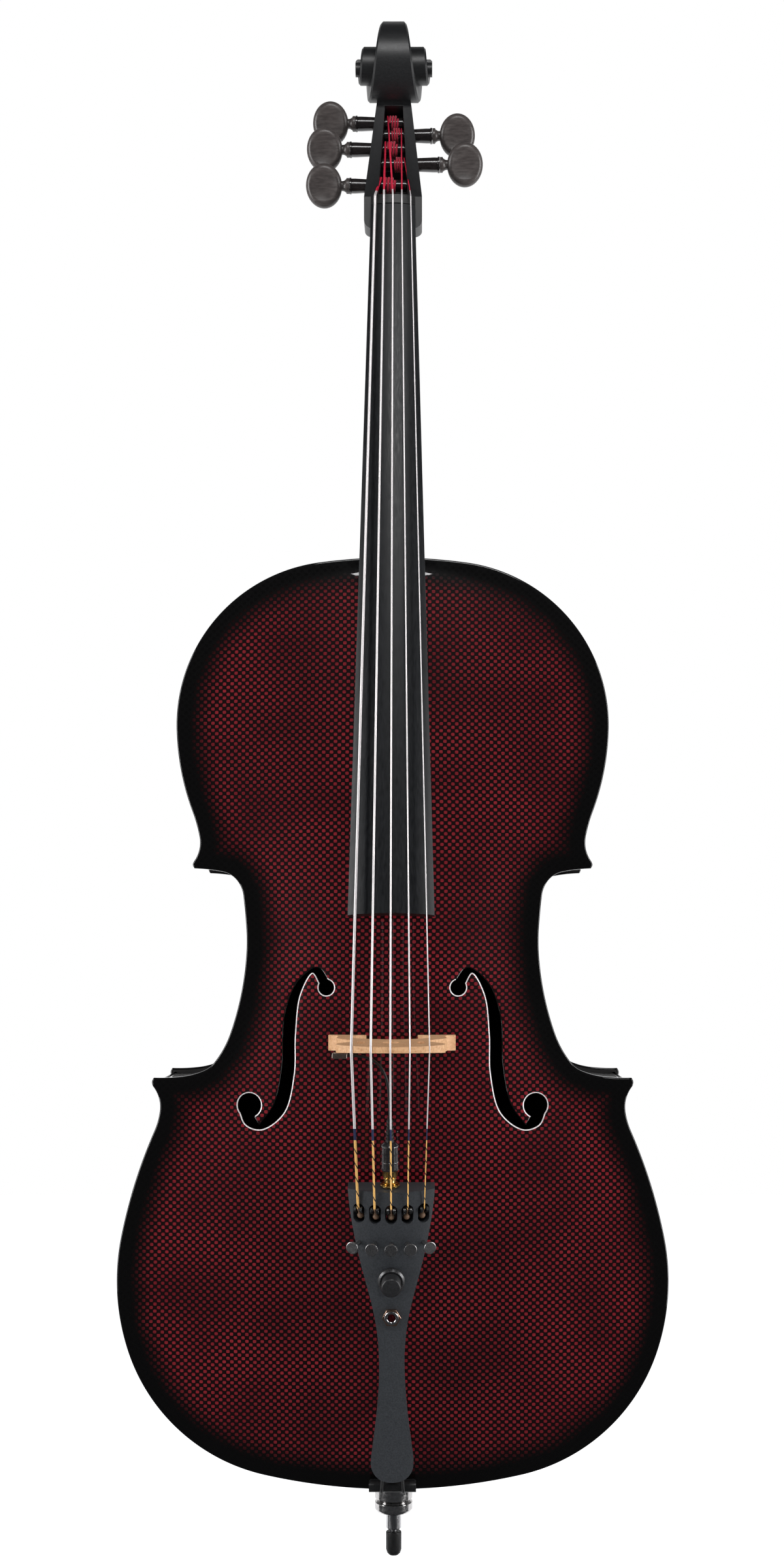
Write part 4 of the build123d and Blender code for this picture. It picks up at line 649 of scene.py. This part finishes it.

# Fingerboard and nut: a moulded black board whose two long bevels are coloured a lighter grey, a painted highlight as
# if lit by the side lamps; the nut is a hard black block with a groove for each string.
fingerboard_with_side_highlight, tree, shader = new_finish("fingerboard_with_side_highlight", gloss=0.3)
long_grain = speckle(tree, 0.0011, detail=3.0, stretch=(1, 1, 0.04)).outputs[0]
normal = add_node(tree, "ShaderNodeTexCoord").outputs["Normal"]
facing = add_node(tree, "ShaderNodeSeparateXYZ", {0: normal}).outputs[0]
sideways = add_node(tree, "ShaderNodeMath", {0: facing}, operation="ABSOLUTE").outputs[0]
# Painted highlight: faces turned to the sides, the board's two long bevels, are coloured a lighter grey.
bevel = add_node(tree, "ShaderNodeMapRange", {"Value": sideways, "From Min": 0.52, "From Max": 0.62}).outputs[0]
face_tone = between(tree, long_grain, (0.0045, 0.005, 0.006), (0.0095, 0.0105, 0.0125))
side_highlight_colour = between(tree, long_grain, (0.03, 0.031, 0.033), (0.05, 0.051, 0.054))
board_colour_and_highlight = add_node(tree, "ShaderNodeMix", {0: bevel, 6: face_tone, 7: side_highlight_colour}, data_type="RGBA").outputs[2]
tree.links.new(board_colour_and_highlight, shader.inputs["Base Color"])
roughen(tree, shader, long_grain, 0.3, 0.46)
emboss(tree, shader, long_grain, 0.000008)
cad_copy("fingerboard", fingerboard_with_side_highlight, "body", "board", edge=0.5, angle=25)
nut_finish = plain_finish("nut_black", (0.008, 0.008, 0.008), (0.016, 0.016, 0.017), 0.001, (0.3, 0.42), depth=0.000008)
cad_copy("nut", nut_finish, "body", "satin_black", edge=0.35)
cad_copy("saddle", nut_finish, "body", "satin_black", edge=0.5)

# Pegs: turned black posts and sleeves, and oval thumb pieces with a soft brushed sheen.
peg_sheen = plain_finish(
    "peg_sheen", (0.048, 0.040, 0.038), (0.082, 0.069, 0.065), 0.0016, (0.34, 0.46), depth=0.000006,
    stretch=(0.2, 1, 1), coat=0.25, coat_rough=0.3)
peg_gloss = plain_finish(
    "peg_gloss", (0.011, 0.0085, 0.0085), (0.022, 0.017, 0.0165), 0.0016, (0.16, 0.28), depth=0.000004, coat=0.6)
red_silk = plain_finish(
    "red_silk", (0.50, 0.007, 0.035), (0.90, 0.018, 0.085), 0.00035, (0.5, 0.7), depth=0.00006, sheen=0.4)
cad_copy("peg_sleeves", peg_gloss, "body", "peg_plastic", edge=0.25)
for name in "cgdae":
    cad_copy(f"peg_head_{name}", peg_sheen, f"peg_{name}", "peg_plastic", edge=0.4, angle=40)
    cad_copy(f"peg_post_{name}", peg_gloss, f"post_{name}", "peg_plastic", edge=0.2)
    cad_copy(f"winding_{name}", red_silk, f"post_{name}", "red_silk", angle=60)

# Strings: flat-wound steel, pale against the board, with red silk from the nut to the posts, and a blue
# band and amber silk crossed by a black thread from below the bridge to the tailpiece.
string_finish, tree, shader = new_finish("string_winding", metal=0.5)
space = add_node(tree, "ShaderNodeTexCoord").outputs["Object"]
place_z = add_node(tree, "ShaderNodeSeparateXYZ", {0: space})
turns = add_node(tree, "ShaderNodeMath", {0: place_z.outputs[2], 1: 2 * math.pi / 0.0009}, operation="MULTIPLY").outputs[0]
ribbon = add_node(tree, "ShaderNodeMath", {0: turns}, operation="SINE").outputs[0]
steel_tone = between(tree, ribbon, (0.84, 0.79, 0.79), (0.98, 0.94, 0.94), 0.0, 1.0)


def above(height):
    return add_node(tree, "ShaderNodeMath", {0: place_z.outputs[2], 1: height * MM}, operation="GREATER_THAN").outputs[0]


def painted(over, mask, colour):
    link = add_node(tree, "ShaderNodeMix", {0: mask, 6: over, 7: colour}, data_type="RGBA")
    return link.outputs[2]


def inverse(mask):
    return add_node(tree, "ShaderNodeMath", {0: 1.0, 1: mask}, operation="SUBTRACT").outputs[0]


slant = add_node(tree, "ShaderNodeMath", {0: place_z.outputs[0], 1: 1.9}, operation="MULTIPLY").outputs[0]
spiral_at = add_node(tree, "ShaderNodeMath", {0: place_z.outputs[2], 1: slant}, operation="ADD").outputs[0]
spiral = add_node(tree, "ShaderNodeMath", {0: spiral_at, 1: 2 * math.pi / 0.0105}, operation="MULTIPLY").outputs[0]
spiral = add_node(tree, "ShaderNodeMath", {0: spiral}, operation="SINE").outputs[0]
thread = add_node(tree, "ShaderNodeMath", {0: spiral, 1: 0.88}, operation="GREATER_THAN").outputs[0]
silk_fleck = speckle(tree, 0.0004).outputs[0]
amber = between(tree, silk_fleck, (0.68, 0.36, 0.085), (0.86, 0.52, 0.17))
amber = painted(amber, thread, (0.02, 0.012, 0.01, 1))
tone = painted(steel_tone, inverse(above(-726.0)), between(tree, silk_fleck, (0.005, 0.012, 0.05), (0.01, 0.024, 0.10)))
tone = painted(tone, inverse(above(-735.0)), amber)
tone = painted(tone, inverse(above(-789.6)), between(tree, silk_fleck, (0.10, 0.055, 0.03), (0.24, 0.14, 0.08)))
tone = painted(tone, above(32.0), between(tree, silk_fleck, (0.46, 0.007, 0.030), (0.80, 0.018, 0.07)))
tree.links.new(tone, shader.inputs["Base Color"])
wound = add_node(tree, "ShaderNodeMath", {0: above(-726.0), 1: inverse(above(32.0))}, operation="MULTIPLY").outputs[0]
tree.links.new(add_node(tree, "ShaderNodeMapRange", {"Value": wound, "To Min": 0.0, "To Max": 0.45}).outputs[0], shader.inputs["Metallic"])
tree.links.new(add_node(tree, "ShaderNodeMapRange", {"Value": wound, "To Min": 0.6, "To Max": 0.34}).outputs[0], shader.inputs["Roughness"])
emboss(tree, shader, ribbon, 0.00002, 0.4)
for name in "cgdae":
    cad_copy(f"string_{name}", string_finish, "body", "string_steel", angle=60)

# Bridge: flecked maple, sawn and knife-cut, left bare and sanded. A small metal pickup is held to the
# bass side of its lower face.
maple, tree, shader = new_finish("maple", gloss=0.3)
grain = speckle(tree, 0.0016, detail=4.0, stretch=(0.12, 1, 1)).outputs[0]
fleck = speckle(tree, 0.0011, detail=1.0, stretch=(1.6, 0.35, 0.5)).outputs[0]
wood = between(tree, grain, (0.60, 0.32, 0.155), (0.80, 0.50, 0.28), 0.25, 0.75)
flecks = between(tree, fleck, (1.0, 1.0, 1.0), (0.80, 0.70, 0.60), 0.55, 0.72)
wood = add_node(tree, "ShaderNodeMix", {0: 1.0, 6: wood, 7: flecks}, data_type="RGBA", blend_type="MULTIPLY").outputs[2]
tree.links.new(wood, shader.inputs["Base Color"])
roughen(tree, shader, grain, 0.42, 0.6)
emboss(tree, shader, grain, 0.00002)
cad_copy("bridge", maple, "body", "maple", edge=0.5, segments=3)
pickup_metal = plain_finish("pickup_metal", (0.34, 0.27, 0.23), (0.52, 0.45, 0.40), 0.001, (0.25, 0.4), depth=0.00001, metal=1.0)
cad_copy("pickup", pickup_metal, "body", "nickel", edge=0.3)

# Tailpiece: a moulded dark grey composite arch with a satin skin, closed at the top by a slanted face.
tail_grey = plain_finish(
    "tail_grey", (0.027, 0.030, 0.034), (0.044, 0.048, 0.054), 0.0012, (0.4, 0.52), depth=0.000012, gloss=0.45)
cad_copy("tailpiece", tail_grey, "body", "grey_composite", edge=0.8, segments=3, angle=30)

# Fine tuners: a forked steel lever on a pin in each channel, and a nickel screw with a thin round head.
lever_steel = plain_finish("lever_steel", (0.10, 0.10, 0.10), (0.2, 0.2, 0.2), 0.0008, (0.22, 0.36), depth=0.000006, metal=1.0)
nickel = plain_finish("nickel", (0.46, 0.45, 0.45), (0.6, 0.585, 0.58), 0.0022, (0.14, 0.26), depth=0.000004, metal=1.0)
disc_nickel = plain_finish(
    "disc_nickel", (0.30, 0.295, 0.30), (0.46, 0.45, 0.45), 0.0009, (0.26, 0.4), depth=0.000004, metal=1.0)
cad_copy("tuner_pins", lever_steel, "body", "steel")
for name in "cgdae":
    cad_copy(f"tuner_lever_{name}", lever_steel, f"lever_{name}", "black_steel", edge=0.3)
    cad_copy(f"tuner_screw_{name}", disc_nickel, f"screw_{name}", "nickel", edge=0.25)

# Volume control and output jack: a dark knob in a bevelled collar, and a copper-toned hexagonal nut
# round the bright mouth of the jack.
collar_grey = plain_finish("collar_grey", (0.05, 0.05, 0.052), (0.09, 0.09, 0.092), 0.001, (0.24, 0.36), metal=0.6)
knob_black = plain_finish("knob_black", (0.012, 0.012, 0.013), (0.024, 0.024, 0.025), 0.001, (0.3, 0.42), depth=0.000008)
rose_gold = plain_finish(
    "rose_gold", (0.62, 0.38, 0.28), (0.76, 0.5, 0.38), 0.002, (0.16, 0.28), depth=0.000004, metal=1.0)
cad_copy("volume_pot", collar_grey, "body", "black_steel", edge=0.4)
cad_copy("volume_knob", knob_black, "volume", "gloss_black", edge=0.5, segments=3)
cad_copy("output_jack", bright_steel, "body", "steel", edge=0.2)
cad_copy("jack_nut", rose_gold, "body", "rose_gold", edge=0.35)

# Tail cord: one loop of braided black cord from the tailpiece, over the saddle and round the endpin plug.
braid = plain_finish("tail_braid", (0.006, 0.006, 0.006), (0.03, 0.03, 0.03), 0.0005, (0.5, 0.7), depth=0.00008)
cad_copy("tail_cord", braid, "body", "aramid", angle=60)

# Endpin: a nickel plug and collet ring with knurled rims, a steel rod that slides in them, a plain
# ferrule and a black rubber tip.
rod_steel = plain_finish(
    "rod_steel", (0.42, 0.42, 0.43), (0.56, 0.56, 0.57), 0.0015, (0.2, 0.34), depth=0.000004, stretch=(1, 1, 0.1), metal=1.0)
tip_rubber = plain_finish("tip_rubber", (0.006, 0.006, 0.006), (0.014, 0.014, 0.014), 0.0012, (0.42, 0.6))
cad_copy("endpin_plug", nickel, "body", "nickel", edge=0.25)
cad_copy("endpin_lock_ring", nickel, "collet", "nickel", edge=0.25)
cad_copy("endpin_rod", rod_steel, "endpin", "steel", edge=0.2)
cad_copy("rubber_tip", tip_rubber, "endpin", "black_rubber", edge=0.3)

# Studio: a pale floor far below the endpin, a white surround, and soft boxes at both sides and above.
floor_mesh = bmesh.new()
corners = [floor_mesh.verts.new((x, y, -1.62)) for x, y in ((-6, -6), (6, -6), (6, 6), (-6, 6))]
floor_mesh.faces.new(corners)
floor_finish, tree, shader = new_finish("floor_finish", gloss=0.0)
tree.links.new(
    between(tree, speckle(tree, 0.3).outputs[0], (0.8, 0.8, 0.8), (0.86, 0.86, 0.86)), shader.inputs["Base Color"])
rays = add_node(tree, "ShaderNodeLightPath")
pictured = add_node(tree, "ShaderNodeMath", {0: rays.outputs["Is Camera Ray"], 1: rays.outputs["Is Glossy Ray"]}, operation="MAXIMUM").outputs[0]
pictured = add_node(tree, "ShaderNodeMath", {0: pictured, 1: rays.outputs["Is Transmission Ray"]}, operation="MAXIMUM").outputs[0]
spot = add_node(tree, "ShaderNodeTexCoord").outputs["Object"]
depth = add_node(tree, "ShaderNodeSeparateXYZ", {0: spot}).outputs[1]
beyond = add_node(tree, "ShaderNodeMath", {0: depth, 1: 0.35}, operation="GREATER_THAN").outputs[0]
beyond = add_node(tree, "ShaderNodeMath", {0: beyond, 1: rays.outputs["Is Camera Ray"]}, operation="MAXIMUM").outputs[0]
paper = add_node(tree, "ShaderNodeMath", {0: pictured, 1: beyond}, operation="MULTIPLY").outputs[0]
paper = add_node(tree, "ShaderNodeMath", {0: paper, 1: 0.86}, operation="MULTIPLY").outputs[0]
glow = add_node(tree, "ShaderNodeEmission", {"Color": (1, 1, 1, 1), "Strength": paper})
near = add_node(tree, "ShaderNodeMath", {0: 1.0, 1: beyond}, operation="SUBTRACT").outputs[0]
mirrored = add_node(tree, "ShaderNodeMath", {0: near, 1: rays.outputs["Is Glossy Ray"]}, operation="MULTIPLY").outputs[0]
shade = add_node(tree, "ShaderNodeEmission", {"Color": (0.9, 0.94, 1, 1), "Strength": 0.05})
seen = add_node(tree, "ShaderNodeMixShader", {0: mirrored, 1: shader.outputs[0], 2: shade.outputs[0]})
lit = add_node(tree, "ShaderNodeAddShader", {0: seen.outputs[0], 1: glow.outputs[0]})
tree.links.new(lit.outputs[0], tree.nodes["Material Output"].inputs["Surface"])
floor = finished_piece("floor", floor_mesh, [floor_finish])

world = bpy.data.worlds.new("studio")
bpy.context.scene.world = world
world.use_nodes = True
tree = world.node_tree
tree.nodes.clear()
rays = add_node(tree, "ShaderNodeLightPath")
direction = add_node(tree, "ShaderNodeTexCoord").outputs["Generated"]
toward = add_node(tree, "ShaderNodeSeparateXYZ", {0: direction}).outputs[1]
behind = add_node(tree, "ShaderNodeMapRange", {"Value": toward, "From Min": 0.35, "From Max": 0.85}).outputs[0]
shiny = add_node(tree, "ShaderNodeMath", {0: rays.outputs["Is Glossy Ray"], 1: rays.outputs["Is Transmission Ray"]}, operation="MAXIMUM").outputs[0]
shiny = add_node(tree, "ShaderNodeMath", {0: shiny, 1: behind}, operation="MULTIPLY").outputs[0]
white = add_node(tree, "ShaderNodeMath", {0: rays.outputs["Is Camera Ray"], 1: shiny}, operation="MAXIMUM").outputs[0]
dimmed = add_node(tree, "ShaderNodeMapRange", {"Value": rays.outputs["Is Glossy Ray"], "To Min": 0.3, "To Max": 0.05}).outputs[0]
room = add_node(tree, "ShaderNodeBackground", {"Color": (0.92, 0.95, 1.0, 1), "Strength": dimmed})
page = add_node(tree, "ShaderNodeBackground", {"Color": (1, 1, 1, 1), "Strength": 1.0})
mixed = add_node(tree, "ShaderNodeMixShader", {0: white, 1: room.outputs[0], 2: page.outputs[0]})
add_node(tree, "ShaderNodeOutputWorld", {0: mixed.outputs[0]})


def soft_box(name, spot, aim, width, height, power, colour=(1, 1, 1)):
    """A rectangular studio lamp that faces the point aim."""
    lamp = bpy.data.lights.new(name, "AREA")
    lamp.shape = "RECTANGLE"
    lamp.size, lamp.size_y, lamp.energy, lamp.color = width, height, power, colour
    holder = bpy.data.objects.new(name, lamp)
    holder.location = spot
    holder.rotation_euler = (Vector(aim) - Vector(spot)).to_track_quat("-Z", "Y").to_euler()
    bpy.context.collection.objects.link(holder)


soft_box("left_box", (-1.7, -0.75, -0.35), (0, 0, -0.5), 0.35, 1.8, 26)
soft_box("right_box", (1.7, -0.65, -0.45), (0, 0, -0.5), 0.35, 1.8, 26)
soft_box("top_box", (0.15, -1.6, 0.95), (0, 0, -0.1), 0.9, 0.35, 12)
